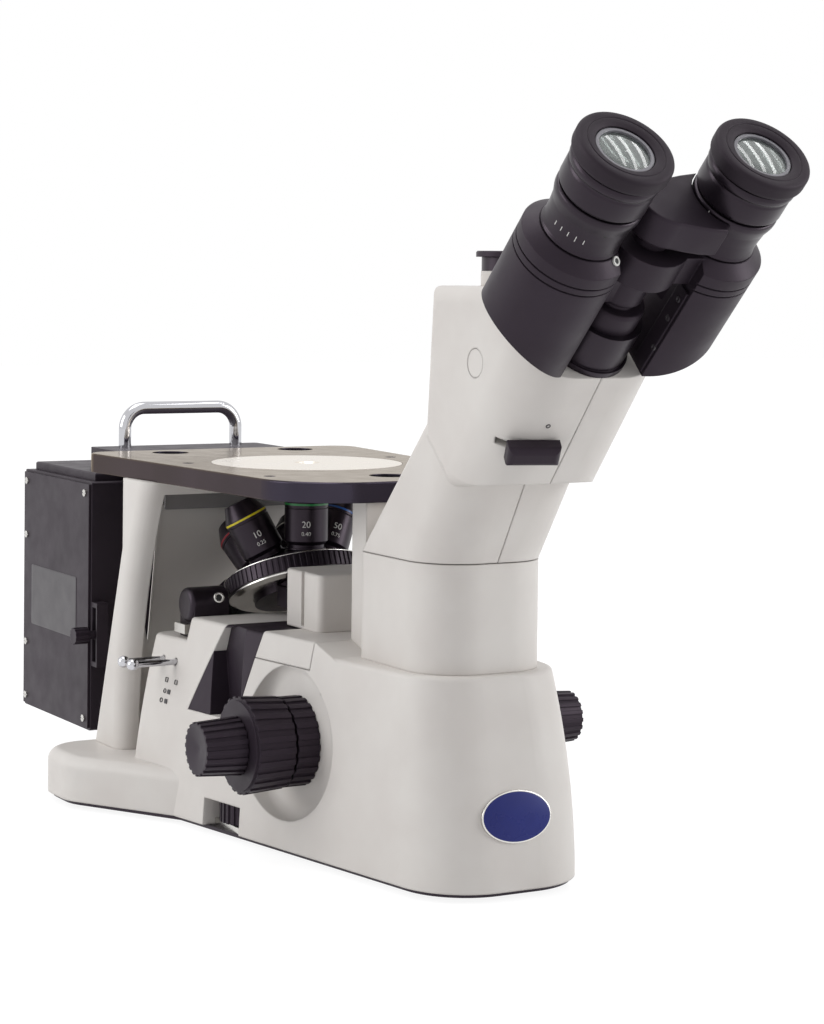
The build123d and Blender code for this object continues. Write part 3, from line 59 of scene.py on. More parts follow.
def camera_axes(azimuth, pitch, roll):
    """Right, up and back directions of a camera turned by these angles in degrees."""
    a, p, r = (math.radians(v) for v in (azimuth, pitch, roll))
    forward = np.array([math.sin(a) * math.cos(p), math.cos(a) * math.cos(p), -math.sin(p)])
    level = np.array([math.cos(a), -math.sin(a), 0.0])
    upright = np.cross(level, forward)
    right = math.cos(r) * level + math.sin(r) * upright
    up = math.cos(r) * upright - math.sin(r) * level
    return right, up, -forward


camera_data = bpy.data.cameras.new("studio_camera")
camera_data.sensor_fit = "AUTO"
camera_data.sensor_width = 36.0
camera_data.lens = focal_pixels / picture_height * camera_data.sensor_width
camera_data.shift_y = lens_shift_pixels / picture_height
camera_data.clip_start = 0.05
camera_data.clip_end = 60.0
camera = bpy.data.objects.new("studio_camera", camera_data)
bpy.context.scene.collection.objects.link(camera)
basis = np.eye(4)
basis[:3, :3] = np.stack(camera_axes(camera_azimuth, camera_pitch, camera_roll), axis=-1)
basis[:3, 3] = camera_place
camera.matrix_world = mathutils.Matrix(basis.tolist())
bpy.context.scene.camera = camera
bpy.context.scene.view_settings.view_transform = "Standard"
print("lens", round(camera_data.lens, 1), "mm")

# %% [markdown]
# Every finish is built from nodes. One function turns a colour written as hex into the linear
# values that the shader wants, and one adds a node together with its settings and its links.

# %% Colour and node helpers
def linear(hex_colour):
    """sRGB hex to linear RGBA: c/12.92 below 0.04045, else ((c + 0.055)/1.055)^2.4."""
    srgb = np.array([int(hex_colour[i:i + 2], 16) for i in (1, 3, 5)]) / 255.0
    lin = np.where(srgb <= 0.04045, srgb / 12.92, ((srgb + 0.055) / 1.055) ** 2.4)
    return (*lin.tolist(), 1.0)


def add(tree, kind, values=None, links=None, **settings):
    """Adds one shader node, sets its constants by socket name and links its inputs."""
    node = tree.nodes.new("ShaderNode" + kind)
    for name, value in settings.items():
        setattr(node, name, value)
    for socket, value in (values or {}).items():
        node.inputs[socket].default_value = value
    for socket, source in (links or {}).items():
        tree.links.new(source, node.inputs[socket])
    return node


def new_finish(name):
    """An empty material; returns it with its tree and its Object coordinates."""
    material = bpy.data.materials.new(name)
    material.use_nodes = True
    material.node_tree.nodes.clear()
    coords = add(material.node_tree, "TexCoord").outputs["Object"]
    return material, material.node_tree, coords


def scale_for(size_mm):
    """The texture scale that makes a feature this many millimetres wide on an object in metres."""
    return 1000.0 / size_mm


print("a middle grey in linear light:", round(linear("#808080")[0], 3))

# %% [markdown]
# Most of this instrument is pale painted casting, black plastic or black painted metal.
# They share one build: two close tones mixed by a broad noise, a roughness that wanders a little,
# and a fine bump at the size of the real grain. Edges are softened in the shading by a Bevel node,
# because real castings and mouldings have no razor edges. A colour that is the same all over is
# set on the shader itself, and a smooth surface gets no bump.

# %% Finish builder
def two_tones(tree, coords, blotch_mm, dark, light):
    """A broad noise between two tones; 0.35 and below is the dark one, 0.65 and above the light one."""
    blotch = add(tree, "TexNoise", {"Scale": scale_for(blotch_mm), "Detail": 3.0}, {"Vector": coords})
    tone = add(tree, "ValToRGB", links={"Fac": blotch.outputs["Fac"]})
    for element, place, colour in zip(tone.color_ramp.elements, (0.35, 0.65), (dark, light)):
        element.position = place
        element.color = linear(colour)
    return tone.outputs["Color"]


def wandering(tree, coords, size_mm, rough):
    """A roughness that goes between two values with a noise of this size."""
    noise = add(tree, "TexNoise", {"Scale": scale_for(size_mm), "Detail": 4.0}, {"Vector": coords})
    spread = {"From Min": 0.3, "From Max": 0.7, "To Min": rough[0], "To Max": rough[1]}
    return add(tree, "MapRange", spread, {"Value": noise.outputs["Fac"]}).outputs["Result"]


def fine_grain(tree, coords, grain_mm, depth_mm, edge_mm):
    """Bump of a noise at the grain's size over a normal that is rounded at the edges."""
    grain = add(tree, "TexNoise", {"Scale": scale_for(grain_mm), "Detail": 2.0}, {"Vector": coords})
    edge = add(tree, "Bevel", {"Radius": edge_mm / 1000.0}, samples=6)
    bump = add(tree, "Bump", {"Strength": 0.5, "Distance": depth_mm / 1000.0},
               {"Height": grain.outputs["Fac"], "Normal": edge.outputs["Normal"]})
    return bump.outputs["Normal"]


def grained_finish(name, dark, light, rough, grain_mm, depth_mm, blotch_mm=40.0, edge_mm=0.6, **shader):
    """Two tones by broad noise, roughness between two values, bump of a given grain and depth."""
    material, tree, coords = new_finish(name)
    links = {"Roughness": wandering(tree, coords, blotch_mm * 0.3, rough)}
    if dark == light:
        shader["Base Color"] = linear(dark)
    else:
        links["Base Color"] = two_tones(tree, coords, blotch_mm, dark, light)
    if depth_mm > 0:
        links["Normal"] = fine_grain(tree, coords, grain_mm, depth_mm, edge_mm)
    body = add(tree, "BsdfPrincipled", shader, links)
    add(tree, "OutputMaterial", links={"Surface": body.outputs["BSDF"]})
    return material


print("finish builder ready")

# %% [markdown]
# The painted and moulded finishes start from the usual values of their materials. Black dyes and
# plastics in this kind of light mirror a faint violet, which the specular tint carries.

# %% Painted and moulded finishes
violet_sheen = linear("#FFE9FF")
faint_violet_sheen = linear("#FFECFF")
warm_mirror = linear("#F6EAD8")
# Powder-coated aluminium casting: satin, with the slight orange peel of baked paint
pale_paint = grained_finish("powder_coated_casting", "#D3CEC9", "#D9D5D0", (0.40, 0.48), 1.6, 0.006,
                            edge_mm=1.6, **{"IOR": 1.45, "Specular IOR Level": 0.3})
# Moulded ABS: a fine spark-eroded grain takes the shine off
moulded_black = grained_finish("moulded_abs_black", "#211B21", "#272128", (0.40, 0.50), 0.5, 0.01,
                               edge_mm=0.7, **{"IOR": 1.45, "Specular IOR Level": 0.32,
                                               "Specular Tint": violet_sheen})
# Anodised aluminium: smooth black with a soft metallic sheen
anodised_black = grained_finish("anodised_black", "#151116", "#1B161C", (0.30, 0.38), 0.25, 0.002,
                                edge_mm=0.4, **{"IOR": 1.5, "Specular IOR Level": 0.36,
                                                "Specular Tint": violet_sheen})
# Painted steel sheet of the lamp house: wrinkle paint, fine and even
sheet_black = grained_finish("painted_sheet_black", "#241F24", "#2A242A", (0.44, 0.54), 0.9, 0.012,
                             edge_mm=0.6, **{"IOR": 1.5, "Specular IOR Level": 0.34,
                                             "Specular Tint": faint_violet_sheen})
# Stage: dyed metal plate with a fine blasted surface that mirrors warmly at a low angle
stage_black = grained_finish("stage_anodised", "#38343E", "#3D3843", (0.19, 0.23), 2.0, 0.0008,
                             edge_mm=0.8, **{"Metallic": 1.0, "Specular Tint": warm_mirror})
# Moulded rubber of the eyecups and feet: duller than the plastics
rubber_black = grained_finish("moulded_rubber", "#1A151A", "#1F1A1F", (0.55, 0.65), 0.4, 0.006,
                              edge_mm=0.8, **{"IOR": 1.45, "Specular IOR Level": 0.35,
                                              "Specular Tint": faint_violet_sheen})
print("painted and moulded finishes:", len(bpy.data.materials))

# %% [markdown]
# Metals take their colour from what they reflect, so they only need a tint, a roughness
# and the marks of the tool, as a fine bump of noise, with an even polish on the chrome.
# Lens glass is clear with a coat, and a noise keeps its roughness from being dead even.

# %% Metal and glass finishes
def metal_finish(name, tint, rough, grain_mm, depth_mm):
    """Full metal: even tint, narrow roughness range, fine bump from the tool marks."""
    return grained_finish(name, tint, tint, rough, grain_mm, depth_mm, edge_mm=0.3, **{"Metallic": 1.0})


def glass_finish(name, tint, rough):
    """Clear coated optical glass: transmission with a faint tint and a coat."""
    material, tree, coords = new_finish(name)
    haze = add(tree, "TexNoise", {"Scale": scale_for(6.0)}, {"Vector": coords})
    roughness = add(tree, "MapRange", {"To Min": rough, "To Max": rough + 0.03},
                    {"Value": haze.outputs["Fac"]})
    clear = {"Base Color": linear(tint), "IOR": 1.52, "Transmission Weight": 0.9, "Coat Weight": 0.6,
             "Coat Roughness": 0.02}
    body = add(tree, "BsdfPrincipled", clear, {"Roughness": roughness.outputs["Result"]})
    add(tree, "OutputMaterial", links={"Surface": body.outputs["BSDF"]})
    return material


satin_aluminium = metal_finish("satin_aluminium", "#E2DACF", (0.26, 0.32), 1.0, 0.0008)
turned_aluminium = metal_finish("turned_aluminium", "#D8D6D2", (0.16, 0.24), 0.3, 0.003)
plated_steel = metal_finish("nickel_plated_steel", "#C9C7C3", (0.20, 0.28), 0.4, 0.004)
chrome = metal_finish("polished_chrome", "#C2C2C6", (0.03, 0.07), 2.0, 0.001)
coated_glass = glass_finish("coated_lens_glass", "#DCE6E2", 0.01)
ceramic = grained_finish("lamp_ceramic", "#D9D2C2", "#E0DACB", (0.5, 0.6), 0.5, 0.01, **{"IOR": 1.5})
print("finishes with metal, glass and ceramic:", len(bpy.data.materials))

# %% [markdown]
# One table says which finish each solid wears. The pale castings carry the instrument, the optical
# parts are anodised black so that no stray light gets in, and what the hand turns is moulded plastic.

# %% Give every solid its finish
finish_of = {
    pale_paint: ("base_frame guide_cover rear_arm front_column stage_support head_left_half "
                 "head_right_half head_plugs port_collar focus_guide"),
    moulded_black: ("saddle left_prism_housing right_prism_housing hinge_plate torque_ring "
                    "coarse_knobs fine_knobs light_wheel head_slider port_cap lamp_knob power_inlet "
                    "switch_frame rocker_switch"),
    anodised_black: ("port_sleeve head_mount left_diopter_ring right_diopter_ring left_eyepiece "
                     "right_eyepiece nosepiece_carrier turret objectives illuminator_housing "
                     "light_tube base_plate"),
    sheet_black: "lamp_house lamp_lid lamp_panels lamp_guide lamp_bridge",
    stage_black: "stage_plate",
    rubber_black: "rubber_feet left_eyecup right_eyecup",
    satin_aluminium: "stage_insert",
    turned_aluminium: "turret_rim",
    plated_steel: "stage_screws lamp_screws wheel_bracket filter_lever",
    chrome: "carry_handle front_pull_rod rear_pull_rod",
    coated_glass: "left_eye_lens right_eye_lens objective_lenses halogen_lamp collector_lens",
    ceramic: "lamp_socket",
}
dressed = set()
for finish, names in finish_of.items():
    for name in names.split():
        nodes[name].data.materials.clear()
        nodes[name].data.materials.append(finish)
        dressed.add(name)
print("solids without a finish:", sorted(set(nodes) - dressed))

# %% [markdown]
# The fine pieces are surfaces of revolution, short sleeves, plates and raised marks. Their points
# are in millimetres, and a 4x4 frame then carries them to where the solids say.

# %% Frames
def frame_at(origin, along, side=(1.0, 0.0, 0.0)):
    """4x4 frame in millimetres: Z along a direction, X as near as it can be to a side direction."""
    z = np.array(along, float) / np.linalg.norm(along)
    y = np.cross(z, np.array(side, float))
    y = y / np.linalg.norm(y)
    m = np.eye(4)
    m[:3, 0], m[:3, 1], m[:3, 2], m[:3, 3] = np.cross(y, z), y, z, origin
    return m


def turned_about(angle, axis):
    """4x4 rotation by an angle in degrees about the X or Z axis."""
    c, s = math.cos(math.radians(angle)), math.sin(math.radians(angle))
    m = np.eye(4)
    i, j = {"X": (1, 2), "Z": (0, 1)}[axis]
    m[i, i], m[i, j], m[j, i], m[j, j] = c, -s, s, c
    return m


def lifted(x, y, z):
    """4x4 shift in millimetres."""
    m = np.eye(4)
    m[:3, 3] = (x, y, z)
    return m


print("frame helpers ready")

# %% [markdown]
# A profile is drawn with a few corners, and a short curve replaces each one, so that light runs
# round the edge as it does on a turned or moulded part. Turning the profile makes a closed grid:
# a point on the axis becomes one pole, and a profile that ends where it began becomes one seam.

# %% Turned surfaces
def softened(corners, radius, steps=4):
    """Profile with each corner c turned into the curve (1-t)^2 a + 2t(1-t) c + t^2 b."""
    c = np.array(corners, float)
    back, ahead = c[:-2] - c[1:-1], c[2:] - c[1:-1]
    back_length, ahead_length = np.linalg.norm(back, axis=1), np.linalg.norm(ahead, axis=1)
    cut = np.minimum(radius, 0.45 * np.minimum(back_length, ahead_length))
    a = c[1:-1] + back * (cut / back_length)[:, None]
    b = c[1:-1] + ahead * (cut / ahead_length)[:, None]
    t = np.linspace(0, 1, steps)[None, :, None]
    curve = (1 - t) ** 2 * a[:, None] + 2 * t * (1 - t) * c[1:-1][:, None] + t ** 2 * b[:, None]
    return np.vstack([c[:1], curve.reshape(-1, 2), c[-1:]])


def turned_points(profile, segments):
    """Points (r cos t, r sin t, z) of an (r, z) profile, with one point for a pole or a seam."""
    r, z = np.asarray(profile, float).T
    t = np.arange(segments) * 2 * np.pi / segments
    grid = np.stack([r[:, None] * np.cos(t), r[:, None] * np.sin(t), z[:, None] + 0 * t], axis=-1)
    ring, step = np.arange(len(r))[:, None], np.arange(segments)[None, :]
    if np.allclose(profile[0], profile[-1]):
        ring[-1] = 0
    index = np.where(r[:, None] < 1e-6, ring * segments, ring * segments + step)
    after = np.roll(index, -1, axis=1)
    quads = np.stack([index[:-1], after[:-1], after[1:], index[1:]], axis=-1).reshape(-1, 4)
    used, packed = np.unique(quads, return_inverse=True)
    packed = packed.reshape(-1, 4)
    first, last = packed[:, 0] == packed[:, 1], packed[:, 2] == packed[:, 3]
    faces = packed[~first & ~last].tolist()
    faces += packed[first][:, [0, 2, 3]].tolist() + packed[last][:, :3].tolist()
    return grid.reshape(-1, 3)[used], faces


def mesh_piece(name, points, faces, place, finish, body, smooth=35.0):
    """A mesh in the object's frame from points in millimetres; rides on a body, shaded by angle."""
    world = points @ place[:3, :3].T + place[:3, 3]
    mesh = bpy.data.meshes.new(name)
    mesh.from_pydata((world / 1000.0).tolist(), [], faces)
    mesh.validate()
    mesh.shade_smooth()
    mesh.set_sharp_from_angle(angle=math.radians(smooth))
    piece = bpy.data.objects.new(name, mesh)
    piece.data.materials.append(finish)
    bpy.context.scene.collection.objects.link(piece)
    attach(piece, body)
    return piece


def turned_piece(name, profile, place, finish, body, segments=96):
    """A surface of revolution about its frame's Z axis."""
    points, faces = turned_points(profile, segments)
    return mesh_piece(name, points, faces, place, finish, body)


def sleeve(r_in, r_out, low, high, soft=0.15):
    """Closed profile of a short sleeve with softened corners, from the middle of its lower edge."""
    start = ((r_in + r_out) / 2, low)
    return softened([start, (r_out, low), (r_out, high), (r_in, high), (r_in, low), start], soft)


print("turning helpers ready")

# %% [markdown]
# Printed and engraved marks are thin solids that stand a few hundredths of a millimetre proud,
# bent round the cylinder they sit on, so they catch the light as ink or paint does.

# %% Marks on cylinders
def marks_piece(name, boxes, radius, place, finish, body, height=0.06):
    """Raised marks on a cylinder: each row of boxes is (angle, width, z, length) in degrees and mm."""
    angle, width, z, length = np.array(boxes, float).T
    across = np.array([-1, 1, 1, -1, -1, 1, 1, -1]) * (width / radius / 2)[:, None]
    turn = np.radians(angle)[:, None] + across
    up = z[:, None] + np.array([-1, -1, 1, 1, -1, -1, 1, 1]) * (length / 2)[:, None]
    out = radius + np.array([-1, -1, -1, -1, 1, 1, 1, 1]) * height + 0 * up
    points = np.stack([out * np.cos(turn), out * np.sin(turn), up], axis=-1).reshape(-1, 3)
    sides = np.array([[3, 2, 1, 0], [4, 5, 6, 7], [0, 1, 5, 4], [1, 2, 6, 5], [2, 3, 7, 6], [3, 0, 4, 7]])
    faces = (np.arange(len(boxes))[:, None, None] * 8 + sides).reshape(-1, 4).tolist()
    return mesh_piece(name, points, faces, place, finish, body)


def number_piece(name, words, size, radius, angle, z, place, finish, body):
    """Raised figures bent round a cylinder: x goes to the angle x / radius, depth to the radius."""
    curve = bpy.data.curves.new(name, "FONT")
    curve.body, curve.size, curve.extrude = words, size, 0.05
    curve.align_x, curve.align_y = "CENTER", "CENTER"
    source = bpy.data.objects.new(name + "_source", curve)
    mesh = source.to_mesh()
    flat = np.empty(len(mesh.vertices) * 3)
    mesh.vertices.foreach_get("co", flat)
    flat = flat.reshape(-1, 3)
    faces = [tuple(p.vertices) for p in mesh.polygons]
    source.to_mesh_clear()
    bpy.data.objects.remove(source)
    bpy.data.curves.remove(curve)
    turn = math.radians(angle) + flat[:, 0] / radius
    out = radius + flat[:, 2]
    points = np.stack([out * np.cos(turn), out * np.sin(turn), z + flat[:, 1]], axis=-1)
    return mesh_piece(name, points, faces, place, finish, body)


print("mark helpers ready")

# %% [markdown]
# More finishes for the fine pieces: silk-screened white and grey, the usual colours of the rings
# round an objective, the grey lens ring, a near-black of painted shade for small holes, and blue enamel.

# %% Small finishes
screen_white = grained_finish("screen_print_white", "#D9D8D4", "#E2E1DD", (0.45, 0.55), 0.2, 0.002,
                              edge_mm=0.05)
screen_grey = grained_finish("screen_print_grey", "#3C3A3C", "#454345", (0.5, 0.6), 0.2, 0.002, edge_mm=0.05)
code_tones = {"red": ("#8E1522", "#9A1B28"), "yellow": ("#D8C512", "#E2D01E"),
              "green": ("#1E7A3C", "#248444"), "blue": ("#2357A0", "#2B61AC")}
code_ring = {colour: grained_finish("code_ring_" + colour, dark, light, (0.3, 0.4), 0.3, 0.003, edge_mm=0.1)
             for colour, (dark, light) in code_tones.items()}
lens_grey = grained_finish("lens_ring_grey", "#6F6D73", "#7C7A80", (0.3, 0.4), 0.3, 0.004, edge_mm=0.1)
# Painted shade: near-black for the floors of small holes, where their depth keeps the light out
hole_shade_black = grained_finish("painted_hole_shade", "#0B0B0C", "#101011", (0.5, 0.6), 0.3, 0.01, edge_mm=0.1)
plate_blue = grained_finish("enamel_blue", "#131D66", "#182472", (0.25, 0.32), 3.0, 0.004, edge_mm=0.5,
                            **{"Specular IOR Level": 0.3})
plate_dark = grained_finish("bare_plate", "#312C31", "#373237", (0.3, 0.4), 0.6, 0.004, edge_mm=0.2)
# Multi-coated lens over a black tube: dark green, with a strong clear coat and no grain
field_glass = grained_finish("coated_field_lens", "#10241C", "#1A3328", (0.06, 0.1), 9.0, 0.0, blotch_mm=6.0,
                             **{"Coat Weight": 1.0, "Coat Roughness": 0.02, "Coat IOR": 1.9,
                                "Specular IOR Level": 0.9})
# Painted shade: the castings' paint darkened for where the stage keeps the light off
painted_shade_grey = grained_finish("painted_shade_casting", "#7C7878", "#838080", (0.5, 0.6), 1.6, 0.006)
print("finishes:", len(bpy.data.materials))

# %% [markdown]
# Each eyepiece ends in a rolled rubber cup. Its section is drawn once as a profile with softened
# corners and a fine groove in the top face, then turned about both eyetube axes. The shell below
# has the waist that the fingers hold, and the ring under it turns to focus one eye.

# %% Eyepieces
eye_along = (0.0, -math.sqrt(0.5), math.sqrt(0.5))
eye_frame = frame_at((0.0, -289.45, 278.0), eye_along)
half_eye_distance, eyetube_rise = 37.6, 2.2
eyetube_places = {"left": (-half_eye_distance, eyetube_rise), "right": (half_eye_distance, eyetube_rise)}
ring_base, eyepiece_base, eyepiece_top = 74.6, 98.9, 124.4
ring_bodies = {"left": "left_ring", "right": "right_tube"}
cup_profile = softened([
    (19.5, -5.9), (21.6, -6.4), (23.2, -6.0), (23.7, -4.6), (23.7, 0.6), (23.0, 1.9), (21.4, 2.3),
    (19.3, 2.2), (19.1, 1.8), (18.7, 1.8), (18.5, 2.15), (16.6, 1.8), (15.3, 1.2), (14.5, 0.8),
    (14.5, 0.35), (19.5, 0.35), (19.5, -5.9),
], 0.8, 5)
shell_profile = softened([
    (0.0, -30.0), (14.8, -30.0), (14.8, 0.0), (20.2, 0.0), (20.2, 1.0), (21.5, 1.6), (21.5, 11.6),
    (21.1, 12.6), (21.1, 13.2), (22.0, 14.4), (22.2, 16.6), (21.4, 18.2), (19.2, 18.6), (19.2, 25.5),
    (14.7, 25.5), (14.7, 22.8), (13.6, 22.4), (12.4, 18.0), (11.6, 12.0), (9.6, 11.0), (0.0, 10.4),
], 0.5, 4)
ring_profile = softened([
    (17.0, 0.2), (19.5, 0.2), (19.6, 1.0), (19.0, 2.0), (19.1, 9.0), (19.7, 15.0), (20.9, 19.0),
    (21.3, 20.6), (21.3, 23.0), (20.6, 23.85), (17.0, 23.85), (17.0, 0.2),
], 0.7, 4)
lens_profile = softened([
    (0.0, 10.8), (9.4, 11.3), (9.4, 12.2), (7.5, 14.6), (4.0, 16.4), (0.0, 17.0),
], 1.6, 6)
for side, (x, y) in eyetube_places.items():
    body = side + "_tube"
    low = eye_frame @ lifted(x, y, ring_base)
    base = eye_frame @ lifted(x, y, eyepiece_base)
    top = eye_frame @ lifted(x, y, eyepiece_top)
    cup = turned_piece(side + "_rolled_cup", cup_profile, top, rubber_black, body, 128)
    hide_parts(side + "_eyecup")
    shell = turned_piece(side + "_eyepiece_shell", shell_profile, base, anodised_black, body,
                         128)
    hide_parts(side + "_eyepiece")
    collar = turned_piece(side + "_dioptre_ring", ring_profile, low, anodised_black, ring_bodies[side],
                          128)
    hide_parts(side + "_diopter_ring")
    turned_piece(side + "_lens_ring", sleeve(12.5, 14.3, -1.3, 0.25, 0.35), top, lens_grey, body)
    turned_piece(side + "_field_lens", lens_profile, base, field_glass, body, 64)
print("eyepiece pieces:", len(eyetube_places) * 5)

# %% [markdown]
# The left ring carries the dioptre scale: white ticks at even steps, a longer one at zero, and a
# hole for the pin that turns it, its dark floor painted shade. The right ring has one index mark.

# %% Dioptre scale
def shaded_hole_floor(name, radius, top, bottom, soft, place, body, segments=32):
    """A near-black plug with softened corners; its top face is the floor of a small hole, its colour painted
    shade.
    """
    profile = softened([(0, bottom), (radius, bottom), (radius, top), (0, top)], soft)
    turned_piece(name, profile, place, hole_shade_black, body, segments)


waist_radius, rim_radius, hole_radius = 19.08, 21.3, 19.75
first_tick, zero_tick, tick_step, tick_count = 192, 228, 12, 5
scale_place = eye_frame @ lifted(*eyetube_places["left"], ring_base)
index_place = eye_frame @ lifted(*eyetube_places["right"], ring_base)
tick_angles = [first_tick + tick_step * step for step in range(tick_count)]
scale_rows = [(angle, 0.35, 8.6, 3.2 if angle == zero_tick else 2.4) for angle in tick_angles]
marks_piece("dioptre_ticks", scale_rows, waist_radius, scale_place, screen_white, "left_ring",
            0.12)
marks_piece("right_index", [(204, 0.5, 20.6, 4.0)], rim_radius, index_place, screen_white, "right_tube",
            0.1)
facing_out = frame_at((0, 0, 0), (1, 0, 0), (0, 1, 0))
hole_place = scale_place @ turned_about(262, "Z") @ lifted(hole_radius, 0, 15.5) @ facing_out
shaded_hole_floor("dioptre_hole", 0.9, 0.12, -0.5, 0.05, hole_place, "left_ring", 24)
print("dioptre ticks:", len(scale_rows))

# %% [markdown]
# Objectives carry a colour code for their power and plain figures for power and aperture.
# The upright one is first, the others follow round the turret, each square to the same cone.

# %% Objectives
turret_height, turret_tilt = 105.0, 25.0
barrel_radius = 12.62
codes = [("20", "0.40", code_ring["green"]), ("50", "0.75", code_ring["blue"]), ("100", "0.90", screen_white),
         ("5", "0.12", code_ring["red"]), ("10", "0.25", code_ring["yellow"])]
label_turn = [243, 192, 118, 27, 318]
tilt = math.radians(turret_tilt)
turret_frame = frame_at((0.0, 0.0, turret_height), (0.0, math.sin(tilt), math.cos(tilt)))
for index, ((power, aperture, colour), turn) in enumerate(zip(codes, label_turn)):
    place = turret_frame @ turned_about(360 / len(codes) * index, "Z") @ turned_about(turret_tilt, "X")
    name = "objective_%d" % index
    turned_piece(name + "_code", sleeve(12.3, 12.72, 72.4, 73.6), place, colour, "nosepiece")
    for part, words, size, z in [("_power", power, 5.2, 61.5), ("_aperture", aperture, 3.2, 56.2)]:
        number_piece(name + part, words, size, barrel_radius, turn, z, place, screen_white, "nosepiece")
    turned_piece(name + "_seat_ring", sleeve(10.3, 11.4, 46.6, 47.6), place, anodised_black, "nosepiece")
turned_piece("turret_edge_ring", sleeve(40.6, 41.62, 33.9, 34.5), turret_frame, turned_aluminium, "nosepiece",
             192)
turned_piece("turret_lower_edge", sleeve(40.6, 41.62, 25.0, 25.35), turret_frame, anodised_black, "nosepiece",
             192)
print("objectives dressed:", len(codes))

# %% [markdown]
# Screws are turned heads with a dark socket: three hold the hinge plate, and a ring with a well in
# it stands for each set screw, one on the left shoulder and one on the illuminator's drum.
# The wells' near-black floors are painted shade.

# %% Screws and small fittings
def socket_screw(name, place, radius, height, body, finish):
    """A round head, bevelled, with a dark conical recess of half its radius."""
    head = softened([(0, -0.4), (radius, -0.4), (radius, height * 0.8), (radius * 0.86, height),
                     (radius * 0.55, height), (radius * 0.5, height * 0.45), (0, height * 0.35)], 0.12)
    turned_piece(name, head, place, finish, body, 32)


hinge_plate_face = 21.75
hinge_screw_places = [(-326.35, 292.52), (-334.6, 301.3), (-315.0, 278.4)]
for index, (y, z) in enumerate(hinge_screw_places):
    place = frame_at((hinge_plate_face, y, z), (-1, 0, 0), (0, 1, 0))
    socket_screw("hinge_screw_%d" % index, place, 1.5, 0.5, "right_tube", plate_dark)
shoulder_place = frame_at((-25.4, -353.4, 318.9), (0.34, -0.92, 0.19))
turned_piece("set_screw_ring", sleeve(1.35, 2.3, -1.5, -0.35), shoulder_place, screen_white, "left_tube",
             48)
shaded_hole_floor("set_screw_well", 1.36, -0.6, -1.5, 0.1, shoulder_place, "left_tube")
drum_place = frame_at((-50.6, 10.0, 124.6), (-0.2, -0.93, 0.3), (1, 0, 0))
turned_piece("drum_screw_ring", sleeve(1.7, 3.1, -1.5, 1.2, 0.3), drum_place, plated_steel, "stand",
             48)
shaded_hole_floor("drum_screw_well", 1.7, 0.3, -1.5, 0.1, drum_place, "stand")
print("screws:", len(hinge_screw_places) + 2)

# %% [markdown]
# Between the housings sit the hinge post and a broad cap. The cap's outline is a circle about the
# hinge that runs out to the right housing and stops short of its ring. One function makes a closed
# plate from any outline: two faces, a rounded rim between them, and a wall.

# %% Hinge
def plate_piece(name, outline, low, high, round_mm, place, finish, body, dome=0.0):
    """Closed plate over an outline: rings shrink toward the middle by (1 - cos) as they rise by sin."""
    flat = np.array(outline, float)
    middle = flat.mean(axis=0)
    reach = np.linalg.norm(flat - middle, axis=1).max()
    t = np.linspace(0, np.pi / 2, 5)
    under, over = round_mm * (1 - np.sin(t)), round_mm * (1 - np.cos(t))
    inset = np.concatenate([[round_mm], under, over]) / reach
    rise = np.concatenate([[low], low + over, high - under])
    inward = np.cos(np.linspace(0, np.pi / 2, 6)[1:-1])
    share = np.concatenate([1 - inset, (1 - round_mm / reach) * inward])
    top = high + dome * (1 - (share[len(inset):] / share[len(inset) - 1]) ** 2)
    rise = np.concatenate([rise, top])
    rings = middle + (flat - middle)[None, :, :] * share[:, None, None]
    heights = np.broadcast_to(rise[:, None, None], rings.shape[:2] + (1,))
    grid = np.concatenate([rings, heights], axis=2)
    count, around = grid.shape[:2]
    index = np.arange(count * around).reshape(count, around)
    after = np.roll(index, -1, axis=1)
    faces = np.stack([index[:-1], after[:-1], after[1:], index[1:]], axis=-1).reshape(-1, 4).tolist()
    points = np.vstack([grid.reshape(-1, 3), [(*middle, low), (*middle, high + dome)]])
    floor_pole, top_pole = count * around, count * around + 1
    faces += np.stack([after[0], index[0], np.full(around, floor_pole)], axis=-1).tolist()
    faces += np.stack([index[-1], after[-1], np.full(around, top_pole)], axis=-1).tolist()
    return mesh_piece(name, points, faces, place, finish, body)


def arc(middle, radius, start, end, steps):
    """Points at a radius from start to end angle in degrees."""
    t = np.radians(np.linspace(start, end, steps))
    return np.stack([middle[0] + radius * np.cos(t), middle[1] + radius * np.sin(t)], axis=-1)


cap_low, cap_high = 80.5, 97.0
cap_outline = np.vstack([
    arc((0, 0), 15.6, 75, 270, 48), [(8, -17.6), (16, -19.0), (23.0, -19.2)],
    arc(eyetube_places["right"], 21.9, 236, 128, 24), [(14.0, 17.6)],
])
plate_piece("hinge_cap", cap_outline, cap_low, cap_high, 1.6, eye_frame, moulded_black, "right_tube")
post_profile = softened([
    (0, 2.0), (15.4, 2.0), (15.8, 3.0), (15.8, 34.0), (14.6, 35.4), (10.2, 35.6), (9.6, 36.4), (9.6, 81.0),
    (0, 81.0),
], 0.8)
turned_piece("hinge_post", post_profile, eye_frame, moulded_black, "stand")
print("hinge cap from", cap_low, "to", cap_high, "mm along the eyetubes")

# %% [markdown]
# A plate is a plain closed outline with a rounded rim: an oval of blue enamel in a bright frame
# on the front, a plain panel on the lamp house, and a grey sheet of painted shade over the lit
# cross-member of the arm's pocket, in front of the lamp's bridge.

# %% Plates
def box_outline(width, height, radius=1.0):
    """Corners of a rounded rectangle round the origin."""
    w, h = width / 2 - radius, height / 2 - radius
    return np.vstack([arc((w, h), radius, 0, 90, 5), arc((-w, h), radius, 90, 180, 5),
                      arc((-w, -h), radius, 180, 270, 5), arc((w, -h), radius, 270, 360, 5)])


